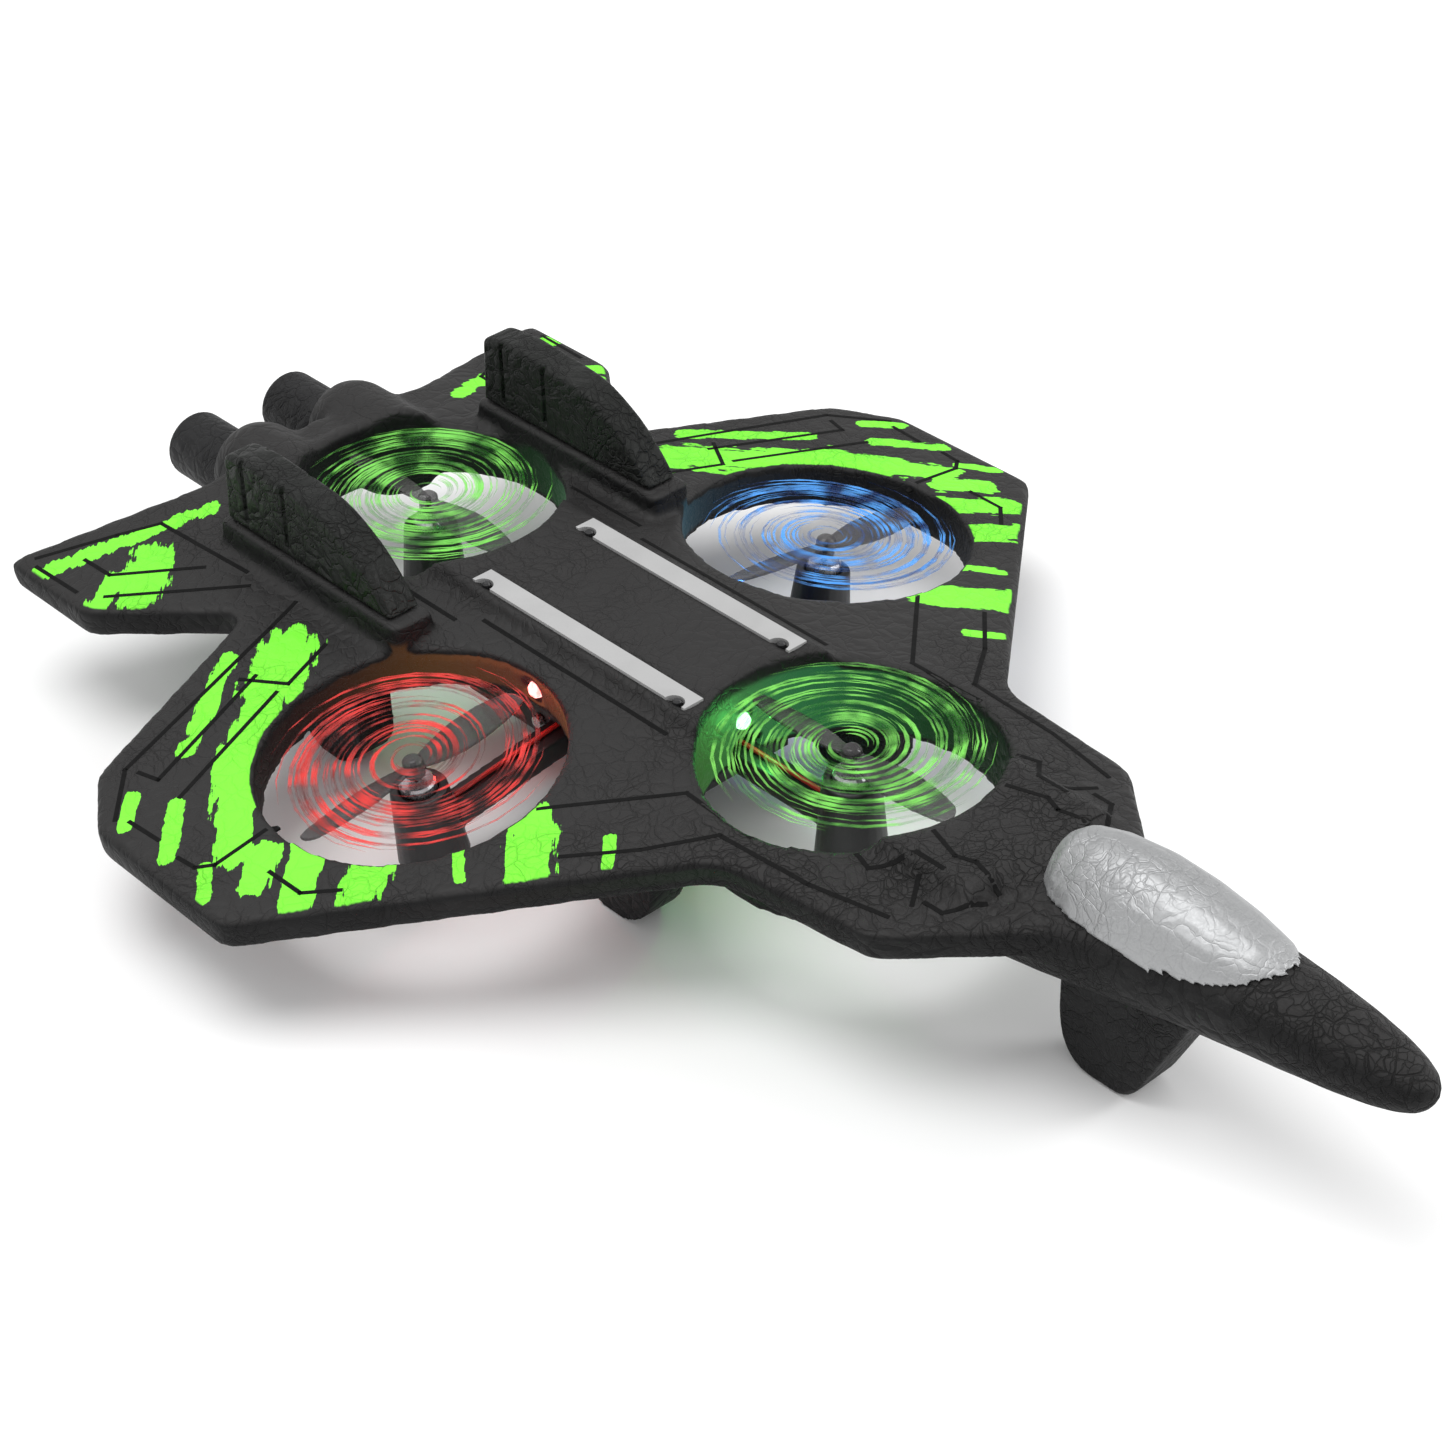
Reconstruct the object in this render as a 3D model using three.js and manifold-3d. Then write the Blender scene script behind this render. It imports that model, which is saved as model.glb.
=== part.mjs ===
// Foam jet-shaped quadcopter with four ducted propellers.
// Millimetres, +Z up, nose along -Y, ground at z = 0, symmetric about x = 0.
import * as THREE from 'three';
import { mergeVertices } from 'three/addons/utils/BufferGeometryUtils.js';
import Module from 'manifold-3d';

// Overall sizes
const NOSE_TIP_Y = -190.4;
const TAIL_END_Y = 190.4;
const WING_TIP_X = 125;
const RIDGE_Z = 44.2;
const DECK_TOP_Z = 44.8;
const ANHEDRAL = THREE.MathUtils.degToRad(7.4);
const PLATE_THICKNESS = 8;
const PLATE_EDGE_RADIUS = 1.5;
const TOUCH_GAP = 0.3;

// Deck and belly
const DECK_HALF_WIDTH = 19.6;
const DECK_FOOT_HALF_WIDTH = 22;
const DECK_UNDERSIDE_Z = 36;
const DECK_FRONT_Y = -90;
const DECK_REAR_Y = 148;
const WING_COLLAR_WALL = 3.4;
const WING_COLLAR_DEPTH = 3.6;
const BODY_SKIRT_WALL = 3.4;

// Duct and propeller sizes
const WING_DUCT_X = 64.2;
const WING_DUCT_Y = 38;
const WING_DUCT_RADIUS = 35;
const FRONT_DUCT_Y = -35.1;
const FRONT_DUCT_RADIUS = 34;
const FRONT_SKIRT_BOTTOM_Z = 21;
const REAR_DUCT_Y = 111.2;
const REAR_DUCT_RADIUS = 33.5;
const REAR_SKIRT_BOTTOM_Z = 27;
const PROPELLER_RADIUS = 31.5;
const BLADE_CHORD = 8.6;
const BLADE_THICKNESS = 0.9;
const BLADE_PITCH = THREE.MathUtils.degToRad(16);
const HUB_RADIUS = 2.4;
const HUB_TOP_DEPTH = 1.8;
const HUB_HEIGHT = 5;
const SHAFT_RADIUS = 0.5;
const SHAFT_CLEARANCE = 0.3;
const MOTOR_RADIUS = 4.25;
const MOTOR_TOP_DEPTH = 8.4;
const MOTOR_LENGTH = 20;
const MOTOR_BORE_DEPTH = 6;
const POD_RADIUS = 8.4;
const POD_TAPER = 1.8;
const POD_TOP_DEPTH = 10.5;
const POD_BOTTOM_DEPTH = 31;
const ARM_TOP_DEPTH = 20;
const ARM_HEIGHT = 5.6;
const ARM_WIDTH = 7;
const FLANGE_WIDTH = 22;
const FLANGE_HEIGHT = 9;
const FLANGE_THICKNESS = 2;
const SCREW_OFFSET = 7.6;
const LED_RADIUS = 2.1;
const LED_LENGTH = 3.4;
const LED_PROTRUSION = 0.9;
const LEAD_RADIUS = 0.6;

// Chassis tray
const TRAY_HALF_WIDTH = 19;
const TRAY_FRONT_Y = 5;
const TRAY_REAR_Y = 75;
const TRAY_BOTTOM_Z = 12;
const TRAY_WALL = 1.6;
const TRAY_TOP_Z = DECK_UNDERSIDE_Z - TOUCH_GAP;
const BOARD_LEDGE_Z = 27;
const BOARD_THICKNESS = 1.2;
const BATTERY_SIZE = [20, 42, 8.5];
const BATTERY_CENTRE_Y = 40;
const BATTERY_OPENING_CLEARANCE = 0.6;
const DOOR_THICKNESS = 1.6;
const DOOR_HALF_WIDTH = 13;
const DOOR_FRONT_Y = 16;
const DOOR_REAR_Y = 64;
const DOOR_RAIL_THICKNESS = 1.3;

// Strips, fins, nozzles, canopy
const STRIP_WIDTH = 5.6;
const STRIP_INNER_X = 13;
const STRIP_FRONT_Y = -2;
const STRIP_REAR_Y = 71;
const STRIP_THICKNESS = 1.5;
const STRIP_NOTCH_RADIUS = 2.6;
const STRIP_NOTCH_FROM_END = 3.6;
const CLIP_POST_RADIUS = 1.05;
const FIN_INNER_X = 35;
const FIN_THICKNESS = 9.2;
const FIN_EDGE_RADIUS = 1.1;
const FIN_GROOVE_YS = [107, 123];
const FIN_GROOVE_WIDTH = 1.5;
const FIN_GROOVE_DEPTH = 1.1;
const PLINTH_MARGIN = 1.3;
const PLINTH_TOP_Z = 45.4;
const NOZZLE_X = 14.7;
const NOZZLE_Z = 29.5;
const NOZZLE_RADIUS = 8.8;
const NOZZLE_WALL = 1.9;
const NOZZLE_FRONT_Y = TAIL_END_Y - 23.4;
const FAIRING_RADIUS = 12.4;
const FAIRING_Z = 34;
const FAIRING_FRONT_Y = 138;

const wasm = await Module();
wasm.setup();
const { Manifold, Mesh: SolidMesh } = wasm;

// A closed three.js geometry as a manifold solid.
function toSolid(geometry) {
  const plain = geometry.clone();
  plain.deleteAttribute('normal');
  plain.deleteAttribute('uv');
  const merged = mergeVertices(plain, 1e-4);
  return new Manifold(new SolidMesh({
    numProp: 3,
    vertProperties: new Float32Array(merged.attributes.position.array),
    triVerts: new Uint32Array(merged.index.array),
  }));
}

// A manifold solid as a three.js geometry with face normals.
function toGeometry(solid) {
  const mesh = solid.getMesh();
  const geometry = new THREE.BufferGeometry();
  geometry.setAttribute('position', new THREE.BufferAttribute(mesh.vertProperties, 3));
  geometry.setIndex(new THREE.BufferAttribute(mesh.triVerts, 1));
  geometry.computeVertexNormals();
  return geometry;
}

function joinAll(geometries) {
  return geometries.map(toSolid).reduce((sum, solid) => sum.add(solid));
}

function cutAll(solid, cutters) {
  return cutters.map(toSolid).reduce((rest, cutter) => rest.subtract(cutter), solid);
}

// A box given by its lowest and highest corner.
function boxBetween(low, high) {
  const size = low.map((value, i) => high[i] - value);
  const geometry = new THREE.BoxGeometry(...size);
  return geometry.translate(...low.map((value, i) => (value + high[i]) / 2));
}

// A cylinder along Z, from its bottom radius and height to its top radius and height.
function uprightCylinder(x, y, bottom, top, bottomRadius, topRadius, segments) {
  const geometry = new THREE.CylinderGeometry(topRadius, bottomRadius, top - bottom, segments);
  geometry.rotateX(Math.PI / 2);
  return geometry.translate(x, y, (bottom + top) / 2);
}

// An outline in X and Y, extruded from z = low to z = high, with its long edges rounded.
function roundedPlate(shape, low, high, edgeRadius, curveSegments) {
  const geometry = new THREE.ExtrudeGeometry(shape, {
    depth: high - low - 2 * edgeRadius,
    bevelEnabled: edgeRadius > 0,
    bevelThickness: edgeRadius,
    bevelSize: edgeRadius,
    bevelOffset: -edgeRadius,
    bevelSegments: 2,
    curveSegments,
  });
  return geometry.translate(0, 0, low + edgeRadius);
}

// A side outline in Y and Z, extruded across X from x = low to x = high.
function sidePlate(shape, low, high, edgeRadius, curveSegments = 8) {
  const geometry = roundedPlate(shape, low, high, edgeRadius, curveSegments);
  const toSide = new THREE.Matrix4().set(
    0, 0, 1, 0,
    1, 0, 0, 0,
    0, 1, 0, 0,
    0, 0, 0, 1,
  );
  return geometry.applyMatrix4(toSide);
}

function shapeThrough(points) {
  return new THREE.Shape(points.map(([a, b]) => new THREE.Vector2(a, b)));
}

// Outline through corners, each rounded with its own radius: [x, y, radius].
function roundedShape(corners) {
  const shape = new THREE.Shape();
  corners.forEach(([x, y, radius], i) => {
    const corner = new THREE.Vector2(x, y);
    const before = corners[(i + corners.length - 1) % corners.length];
    const after = corners[(i + 1) % corners.length];
    const towardBefore = new THREE.Vector2(before[0] - x, before[1] - y).normalize();
    const towardAfter = new THREE.Vector2(after[0] - x, after[1] - y).normalize();
    const start = corner.clone().addScaledVector(towardBefore, radius);
    const end = corner.clone().addScaledVector(towardAfter, radius);
    if (i === 0) shape.moveTo(start.x, start.y);
    else shape.lineTo(start.x, start.y);
    if (radius > 0) shape.quadraticCurveTo(x, y, end.x, end.y);
  });
  shape.closePath();
  return shape;
}

// ---- Duct stations: the place of each duct's top centre, its tilt and its arm's direction.
function ductStation(x, y, tilt, armTurn, radius, ledDepth) {
  const group = new THREE.Group();
  group.position.set(x, y, RIDGE_Z - Math.abs(x) * Math.tan(ANHEDRAL));
  group.rotation.set(0, tilt, armTurn, 'XYZ');
  group.updateMatrixWorld(true);
  return { group, radius, ledDepth, matrix: group.matrix.clone() };
}

const stations = {
  front: ductStation(0, FRONT_DUCT_Y, 0, Math.PI / 2, FRONT_DUCT_RADIUS, 13),
  rear: ductStation(0, REAR_DUCT_Y, 0, -Math.PI / 2, REAR_DUCT_RADIUS, 11),
  left: ductStation(WING_DUCT_X, WING_DUCT_Y, ANHEDRAL, Math.PI, WING_DUCT_RADIUS, 6),
  right: ductStation(-WING_DUCT_X, WING_DUCT_Y, -ANHEDRAL, 0, WING_DUCT_RADIUS, 6),
};

function inWorld(station, geometry) {
  return geometry.applyMatrix4(station.matrix);
}

// A cylinder along a station's own X axis, between two distances from the duct's axis.
function spoke(from, to, depth, sideways, radius, segments) {
  const geometry = new THREE.CylinderGeometry(radius, radius, to - from, segments);
  geometry.rotateZ(-Math.PI / 2);
  return geometry.translate((from + to) / 2, sideways, -depth);
}

// ---- Airframe
const HALF_PLANFORM = [
  [-2, -109, 0],
  [14, -109, 2],
  [40.2, -80, 3],
  [44.2, -39.8, 6],
  [WING_TIP_X, 27, 3],
  [WING_TIP_X, 72.5, 3],
  [114, 88.5, 3],
  [58, 108, 6],
  [83, 139, 3],
  [83.2, 172, 3],
  [34, 157.8, 4],
  [-2, 157.5, 0],
];

// One wing with its tailplane: a flat foam sheet turned down by the anhedral, side is 1 or -1.
function wingHalf(side) {
  const stretch = 1 / Math.cos(ANHEDRAL);
  const shape = roundedShape(HALF_PLANFORM.map(([x, y, r]) => [x * stretch, y, r]));
  const sheet = roundedPlate(shape, -PLATE_THICKNESS, 0, PLATE_EDGE_RADIUS, 3);
  if (side < 0) sheet.rotateZ(Math.PI);
  if (side < 0) sheet.rotateX(Math.PI);
  if (side < 0) sheet.translate(0, 0, -PLATE_THICKNESS);
  sheet.rotateY(side * ANHEDRAL);
  return sheet.translate(0, 0, RIDGE_Z);
}

// The round wall under a wing duct.
function wingCollar(station) {
  const outer = station.radius + WING_COLLAR_WALL;
  const bottom = -PLATE_THICKNESS - WING_COLLAR_DEPTH;
  return inWorld(station, uprightCylinder(0, 0, bottom, -PLATE_THICKNESS / 2, outer - 1, outer, 40));
}

function wingDuctBore(station) {
  return inWorld(station, uprightCylinder(0, 0, -30, 5, station.radius, station.radius, 48));
}

function bodySkirt(y, radius, bottom) {
  const outer = radius + BODY_SKIRT_WALL;
  return uprightCylinder(0, y, bottom, DECK_UNDERSIDE_Z + 3, outer - 1.4, outer, 44);
}

function deck() {
  const section = shapeThrough([
    [-DECK_FOOT_HALF_WIDTH, DECK_UNDERSIDE_Z],
    [DECK_FOOT_HALF_WIDTH, DECK_UNDERSIDE_Z],
    [DECK_FOOT_HALF_WIDTH, DECK_TOP_Z - 3.2],
    [DECK_HALF_WIDTH, DECK_TOP_Z],
    [-DECK_HALF_WIDTH, DECK_TOP_Z],
    [-DECK_FOOT_HALF_WIDTH, DECK_TOP_Z - 3.2],
  ]);
  const geometry = new THREE.ExtrudeGeometry(section, {
    depth: DECK_REAR_Y - DECK_FRONT_Y,
    bevelEnabled: false,
  });
  geometry.rotateX(Math.PI / 2);
  return geometry.translate(0, DECK_REAR_Y, 0);
}

// Nose sections: station y, half width, height of the centre, rise above it, drop below it.
const NOSE_SECTIONS = [
  [NOSE_TIP_Y, 0, 41.4, 0, 0],
  [-189.6, 2.6, 41.4, 2.6, 2.6],
  [-187.5, 4.6, 41.4, 4.5, 4.6],
  [-184, 6.2, 41.4, 6, 6.2],
  [-178, 7.8, 41.4, 7.6, 7.8],
  [-170, 9.2, 41.4, 8.9, 9.2],
  [-160, 10.5, 41.4, 9.9, 10.6],
  [-148, 11.9, 41.2, 10.6, 12],
  [-134, 13.4, 40.4, 11, 13.2],
  [-118, 15.2, 39, 10.6, 14.6],
  [-102, 17.4, 37.4, 9.2, 15.4],
  [-86, 20, 36, 8.2, 15],
  [-70, 22, 35, 7.6, 13.6],
  [-62, 0, 35, 0, 0],
];

// The nose: a lathe along Y whose rings take the sections above, grown outward by a margin.
function noseBody(grow) {
  const rings = NOSE_SECTIONS.length;
  const profile = NOSE_SECTIONS.map(([y, width]) => new THREE.Vector2(width > 0 ? 1 : 0, y));
  const geometry = new THREE.LatheGeometry(profile, 24);
  const position = geometry.attributes.position;
  for (let i = 0; i < position.count; i += 1) {
    const [y, width, centre, rise, drop] = NOSE_SECTIONS[i % rings];
    const across = position.getX(i);
    const up = position.getZ(i);
    const height = (up > 0 ? rise : drop) + (width > 0 ? grow : 0);
    const endShift = width > 0 ? 0 : grow * Math.sign(y - NOSE_SECTIONS[1][0]);
    position.setXYZ(i, across * (width + (width > 0 ? grow : 0)), y + endShift, centre + up * height);
  }
  return geometry;
}

function nozzleFairing(side) {
  const profile = [
    [0, 0],
    [FAIRING_RADIUS, 0],
    [FAIRING_RADIUS, NOZZLE_FRONT_Y - FAIRING_FRONT_Y - 5],
    [FAIRING_RADIUS - 1.8, NOZZLE_FRONT_Y - FAIRING_FRONT_Y],
    [0, NOZZLE_FRONT_Y - FAIRING_FRONT_Y],
  ].map(([r, h]) => new THREE.Vector2(r, h));
  const geometry = new THREE.LatheGeometry(profile, 28);
  return geometry.translate(side * NOZZLE_X, FAIRING_FRONT_Y, FAIRING_Z);
}

function finPlinth(side) {
  const inner = FIN_INNER_X - PLINTH_MARGIN;
  const outer = FIN_INNER_X + FIN_THICKNESS + PLINTH_MARGIN;
  const low = side > 0 ? inner : -outer;
  const shape = roundedShape([[low, 66, 1], [low + outer - inner, 66, 1],
    [low + outer - inner, 134, 1], [low, 134, 1]]);
  return roundedPlate(shape, 34, PLINTH_TOP_Z, 1, 2);
}

// Inner x of each strip: the two strips are alike, so both are placed by their low-x edge.
const STRIP_LOW_X = { left: STRIP_INNER_X, right: -STRIP_INNER_X - STRIP_WIDTH };

function stripNotchYs() {
  return [STRIP_FRONT_Y + STRIP_NOTCH_FROM_END, STRIP_REAR_Y - STRIP_NOTCH_FROM_END];
}

function stripPocket(lowX) {
  const floor = DECK_TOP_Z - STRIP_THICKNESS - TOUCH_GAP;
  return boxBetween(
    [lowX - TOUCH_GAP, STRIP_FRONT_Y - TOUCH_GAP, floor],
    [lowX + STRIP_WIDTH + TOUCH_GAP, STRIP_REAR_Y + TOUCH_GAP, DECK_TOP_Z + 1],
  );
}

function ledPocket(station) {
  const from = station.radius - 2;
  const to = station.radius + LED_LENGTH - LED_PROTRUSION + TOUCH_GAP;
  return inWorld(station, spoke(from, to, station.ledDepth, 0, LED_RADIUS + TOUCH_GAP, 14));
}

function airframe() {
  const parts = [
    wingHalf(1),
    wingHalf(-1),
    wingCollar(stations.left),
    wingCollar(stations.right),
    bodySkirt(FRONT_DUCT_Y, FRONT_DUCT_RADIUS, FRONT_SKIRT_BOTTOM_Z),
    bodySkirt(REAR_DUCT_Y, REAR_DUCT_RADIUS, REAR_SKIRT_BOTTOM_Z),
    deck(),
    noseBody(0),
    nozzleFairing(1),
    nozzleFairing(-1),
    finPlinth(1),
    finPlinth(-1),
  ];
  const armSlot = ARM_WIDTH / 2 + TOUCH_GAP;
  const cutters = [
    wingDuctBore(stations.left),
    wingDuctBore(stations.right),
    uprightCylinder(0, FRONT_DUCT_Y, 0, 70, FRONT_DUCT_RADIUS, FRONT_DUCT_RADIUS, 48),
    uprightCylinder(0, REAR_DUCT_Y, 0, 70, REAR_DUCT_RADIUS, REAR_DUCT_RADIUS, 48),
    boxBetween(
      [-TRAY_HALF_WIDTH - TOUCH_GAP, TRAY_FRONT_Y - FLANGE_THICKNESS - TOUCH_GAP, 0],
      [TRAY_HALF_WIDTH + TOUCH_GAP, TRAY_REAR_Y + FLANGE_THICKNESS + TOUCH_GAP, DECK_UNDERSIDE_Z],
    ),
    boxBetween([-armSlot, -10, 10], [armSlot, TRAY_FRONT_Y, RIDGE_Z - ARM_TOP_DEPTH + 2]),
    stripPocket(STRIP_LOW_X.left),
    stripPocket(STRIP_LOW_X.right),
    ledPocket(stations.front),
    ledPocket(stations.rear),
    ledPocket(stations.left),
    ledPocket(stations.right),
  ];
  return toGeometry(cutAll(joinAll(parts), cutters));
}

// ---- Canopy: a teardrop on top of the nose.
const CANOPY_SECTIONS = [
  [-158.5, 0, 46.4, 0],
  [-157.6, 3.6, 46.2, 4.2],
  [-154.5, 6.8, 45.8, 6.6],
  [-148.5, 9.8, 45, 9.4],
  [-140, 12, 44, 12.2],
  [-129, 13.6, 42.8, 15],
  [-118, 14, 41.8, 16.9],
  [-108, 13, 41, 17],
  [-101, 11, 41, 15.2],
  [-97.5, 8.4, 41, 12.4],
  [-96, 0, 41, 0],
];

function canopy() {
  const rings = CANOPY_SECTIONS.length;
  const profile = CANOPY_SECTIONS.map(([y, width]) => new THREE.Vector2(width > 0 ? 1 : 0, y));
  const geometry = new THREE.LatheGeometry(profile, 24);
  const position = geometry.attributes.position;
  for (let i = 0; i < position.count; i += 1) {
    const [y, width, centre, rise] = CANOPY_SECTIONS[i % rings];
    position.setXYZ(i, position.getX(i) * width, y, centre + position.getZ(i) * rise);
  }
  const cutters = [noseBody(TOUCH_GAP + 0.05)];
  return toGeometry(cutAll(toSolid(geometry), cutters));
}

// ---- Fins
const FIN_PROFILE = [
  [69.5, 0, 0],
  [132, 0, 0],
  [131, 63.8, 2],
  [121, 65.4, 4],
  [93, 63.8, 6],
  [80, 57, 5],
  [73, 50, 3],
];

function fin(side) {
  const base = PLINTH_TOP_Z + TOUCH_GAP;
  const corners = FIN_PROFILE.map(([y, z, r]) => [y, Math.max(z, base), r]);
  const inner = side > 0 ? FIN_INNER_X : -FIN_INNER_X - FIN_THICKNESS;
  const plate = sidePlate(roundedShape(corners), inner, inner + FIN_THICKNESS, FIN_EDGE_RADIUS, 3);
  const outside = 2;
  const grooves = FIN_GROOVE_YS.flatMap((y) => [inner, inner + FIN_THICKNESS].map((face) => boxBetween(
    [face - (face > inner ? FIN_GROOVE_DEPTH : outside), y, base + 2],
    [face + (face > inner ? outside : FIN_GROOVE_DEPTH), y + FIN_GROOVE_WIDTH, base + 40],
  )));
  return toGeometry(cutAll(toSolid(plate), grooves));
}

function nozzle() {
  const front = NOZZLE_FRONT_Y + TOUCH_GAP;
  const profile = [
    [0, front],
    [NOZZLE_RADIUS, front],
    [NOZZLE_RADIUS, TAIL_END_Y - 1],
    [NOZZLE_RADIUS - 0.8, TAIL_END_Y],
    [NOZZLE_RADIUS - NOZZLE_WALL, TAIL_END_Y - 0.6],
    [NOZZLE_RADIUS - NOZZLE_WALL - 0.6, front + 5],
    [0, front + 4],
  ].map(([r, h]) => new THREE.Vector2(r, h));
  return new THREE.LatheGeometry(profile, 28);
}

// ---- Deck strips and their clip posts
function strip() {
  const length = STRIP_REAR_Y - STRIP_FRONT_Y;
  const shape = new THREE.Shape();
  shape.moveTo(0, 0);
  shape.lineTo(STRIP_WIDTH, 0);
  shape.lineTo(STRIP_WIDTH, length);
  shape.lineTo(0, length);
  shape.absarc(0, length - STRIP_NOTCH_FROM_END, STRIP_NOTCH_RADIUS, Math.PI / 2, -Math.PI / 2, true);
  shape.absarc(0, STRIP_NOTCH_FROM_END, STRIP_NOTCH_RADIUS, Math.PI / 2, -Math.PI / 2, true);
  shape.closePath();
  return roundedPlate(shape, 0, STRIP_THICKNESS, 0, 8);
}

function clipPost() {
  const floor = DECK_TOP_Z - STRIP_THICKNESS;
  const profile = [
    [0, floor],
    [CLIP_POST_RADIUS, floor],
    [CLIP_POST_RADIUS, DECK_TOP_Z - 0.3],
    [CLIP_POST_RADIUS - 0.4, DECK_TOP_Z + 0.1],
    [0, DECK_TOP_Z + 0.1],
  ].map(([r, h]) => new THREE.Vector2(r, h));
  const geometry = new THREE.LatheGeometry(profile, 12);
  return geometry.rotateX(Math.PI / 2);
}

// ---- Propulsion
function latheUp(profile, segments) {
  const geometry = new THREE.LatheGeometry(profile.map(([r, h]) => new THREE.Vector2(r, h)), segments);
  return geometry.rotateX(Math.PI / 2);
}

function motor() {
  const bottom = -MOTOR_TOP_DEPTH - MOTOR_LENGTH;
  const bore = SHAFT_RADIUS + SHAFT_CLEARANCE;
  return latheUp([
    [0, bottom],
    [MOTOR_RADIUS - 0.4, bottom],
    [MOTOR_RADIUS, bottom + 0.6],
    [MOTOR_RADIUS, -MOTOR_TOP_DEPTH - 0.5],
    [MOTOR_RADIUS - 0.5, -MOTOR_TOP_DEPTH],
    [bore, -MOTOR_TOP_DEPTH],
    [bore, -MOTOR_TOP_DEPTH - MOTOR_BORE_DEPTH],
    [0, -MOTOR_TOP_DEPTH - MOTOR_BORE_DEPTH],
  ], 18);
}

function motorShaft() {
  const top = -HUB_TOP_DEPTH - 1.2;
  const bottom = -MOTOR_TOP_DEPTH - MOTOR_BORE_DEPTH + TOUCH_GAP;
  return uprightCylinder(0, 0, bottom, top, SHAFT_RADIUS, SHAFT_RADIUS, 10);
}

// One blade along +X, pitched about its own length.
function blade(turn) {
  const half = BLADE_CHORD / 2;
  const outline = new THREE.Shape();
  outline.moveTo(0.5, -1.3);
  outline.quadraticCurveTo(8, -half, 15, -half);
  outline.quadraticCurveTo(26, -half + 0.3, PROPELLER_RADIUS - 1, -half + 2);
  outline.quadraticCurveTo(PROPELLER_RADIUS, 0, PROPELLER_RADIUS - 2.4, half - 2.2);
  outline.quadraticCurveTo(22, half, 13, half - 0.4);
  outline.quadraticCurveTo(7, half - 1.2, 0.5, 1.3);
  outline.closePath();
  const geometry = roundedPlate(outline, -BLADE_THICKNESS / 2, BLADE_THICKNESS / 2, 0, 4);
  geometry.rotateX(BLADE_PITCH);
  geometry.rotateZ(turn);
  return geometry.translate(0, 0, -HUB_TOP_DEPTH - HUB_HEIGHT / 2);
}

function propeller() {
  const hubBottom = -HUB_TOP_DEPTH - HUB_HEIGHT;
  const hub = latheUp([
    [0, hubBottom],
    [HUB_RADIUS, hubBottom],
    [HUB_RADIUS, -HUB_TOP_DEPTH - 0.8],
    [HUB_RADIUS - 0.9, -HUB_TOP_DEPTH],
    [0, -HUB_TOP_DEPTH],
  ], 18);
  const bore = uprightCylinder(0, 0, hubBottom - 1, -HUB_TOP_DEPTH - 0.9,
    SHAFT_RADIUS + SHAFT_CLEARANCE, SHAFT_RADIUS + SHAFT_CLEARANCE, 10);
  return toGeometry(cutAll(joinAll([hub, blade(0), blade(Math.PI)]), [bore]));
}

// Distance along a station's arm from its duct axis to a point safely inside the tray.
function armReach(station) {
  return Math.abs(station.group.position.x) > 1 ? 52 : 48;
}

function trayEnvelope(margin) {
  return boxBetween(
    [-TRAY_HALF_WIDTH - margin, TRAY_FRONT_Y - margin, TRAY_BOTTOM_Z - 5],
    [TRAY_HALF_WIDTH + margin, TRAY_REAR_Y + margin, DECK_TOP_Z + 5],
  );
}

// The end plate of an arm, flat on the tray's wall, in world axes.
function flangePlate(station) {
  const { x, y } = station.group.position;
  const height = FLANGE_HEIGHT;
  const bottom = armHeightAtTray(station) - height / 2;
  const inner = TOUCH_GAP;
  const outer = TOUCH_GAP + FLANGE_THICKNESS;
  const half = FLANGE_WIDTH / 2;
  if (Math.abs(x) > 1) {
    const side = Math.sign(x);
    const xs = [side * (TRAY_HALF_WIDTH + inner), side * (TRAY_HALF_WIDTH + outer)].sort((a, b) => a - b);
    return boxBetween([xs[0], y - half, bottom], [xs[1], y + half, bottom + height]);
  }
  const near = y < TRAY_FRONT_Y ? TRAY_FRONT_Y - outer : TRAY_REAR_Y + inner;
  return boxBetween([-half, near, bottom], [half, near + FLANGE_THICKNESS, bottom + height]);
}

function armHeightAtTray(station) {
  const { x } = station.group.position;
  const middle = ARM_TOP_DEPTH + ARM_HEIGHT / 2;
  if (Math.abs(x) < 1) return RIDGE_Z - middle;
  const plateTop = RIDGE_Z - TRAY_HALF_WIDTH * Math.tan(ANHEDRAL);
  return plateTop - middle / Math.cos(ANHEDRAL);
}

// Where an arm's screw enters its flange, and the turn that points +X into the tray.
function screwPlace(station) {
  const { x, y } = station.group.position;
  const z = armHeightAtTray(station);
  const face = TRAY_HALF_WIDTH + TOUCH_GAP + FLANGE_THICKNESS;
  if (Math.abs(x) > 1) {
    const side = Math.sign(x);
    return { position: [side * face, y + SCREW_OFFSET, z], turn: side > 0 ? Math.PI : 0 };
  }
  const front = y < TRAY_FRONT_Y;
  const faceY = front ? TRAY_FRONT_Y - TOUCH_GAP - FLANGE_THICKNESS : TRAY_REAR_Y + TOUCH_GAP + FLANGE_THICKNESS;
  return { position: [SCREW_OFFSET, faceY, z], turn: front ? Math.PI / 2 : -Math.PI / 2 };
}

const SCREW_SHANK_RADIUS = 0.9;
const SCREW_HEAD_RADIUS = 1.9;
const SCREW_HEAD_HEIGHT = 1.2;
const SCREW_LENGTH = 6;

function screw() {
  const profile = [
    [0, -SCREW_LENGTH],
    [SCREW_SHANK_RADIUS, -SCREW_LENGTH],
    [SCREW_SHANK_RADIUS, TOUCH_GAP],
    [SCREW_HEAD_RADIUS, TOUCH_GAP],
    [SCREW_HEAD_RADIUS - 0.4, TOUCH_GAP + SCREW_HEAD_HEIGHT],
    [0, TOUCH_GAP + SCREW_HEAD_HEIGHT],
  ].map(([r, h]) => new THREE.Vector2(r, h));
  const geometry = new THREE.LatheGeometry(profile, 12);
  return geometry.rotateZ(Math.PI / 2);
}

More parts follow.
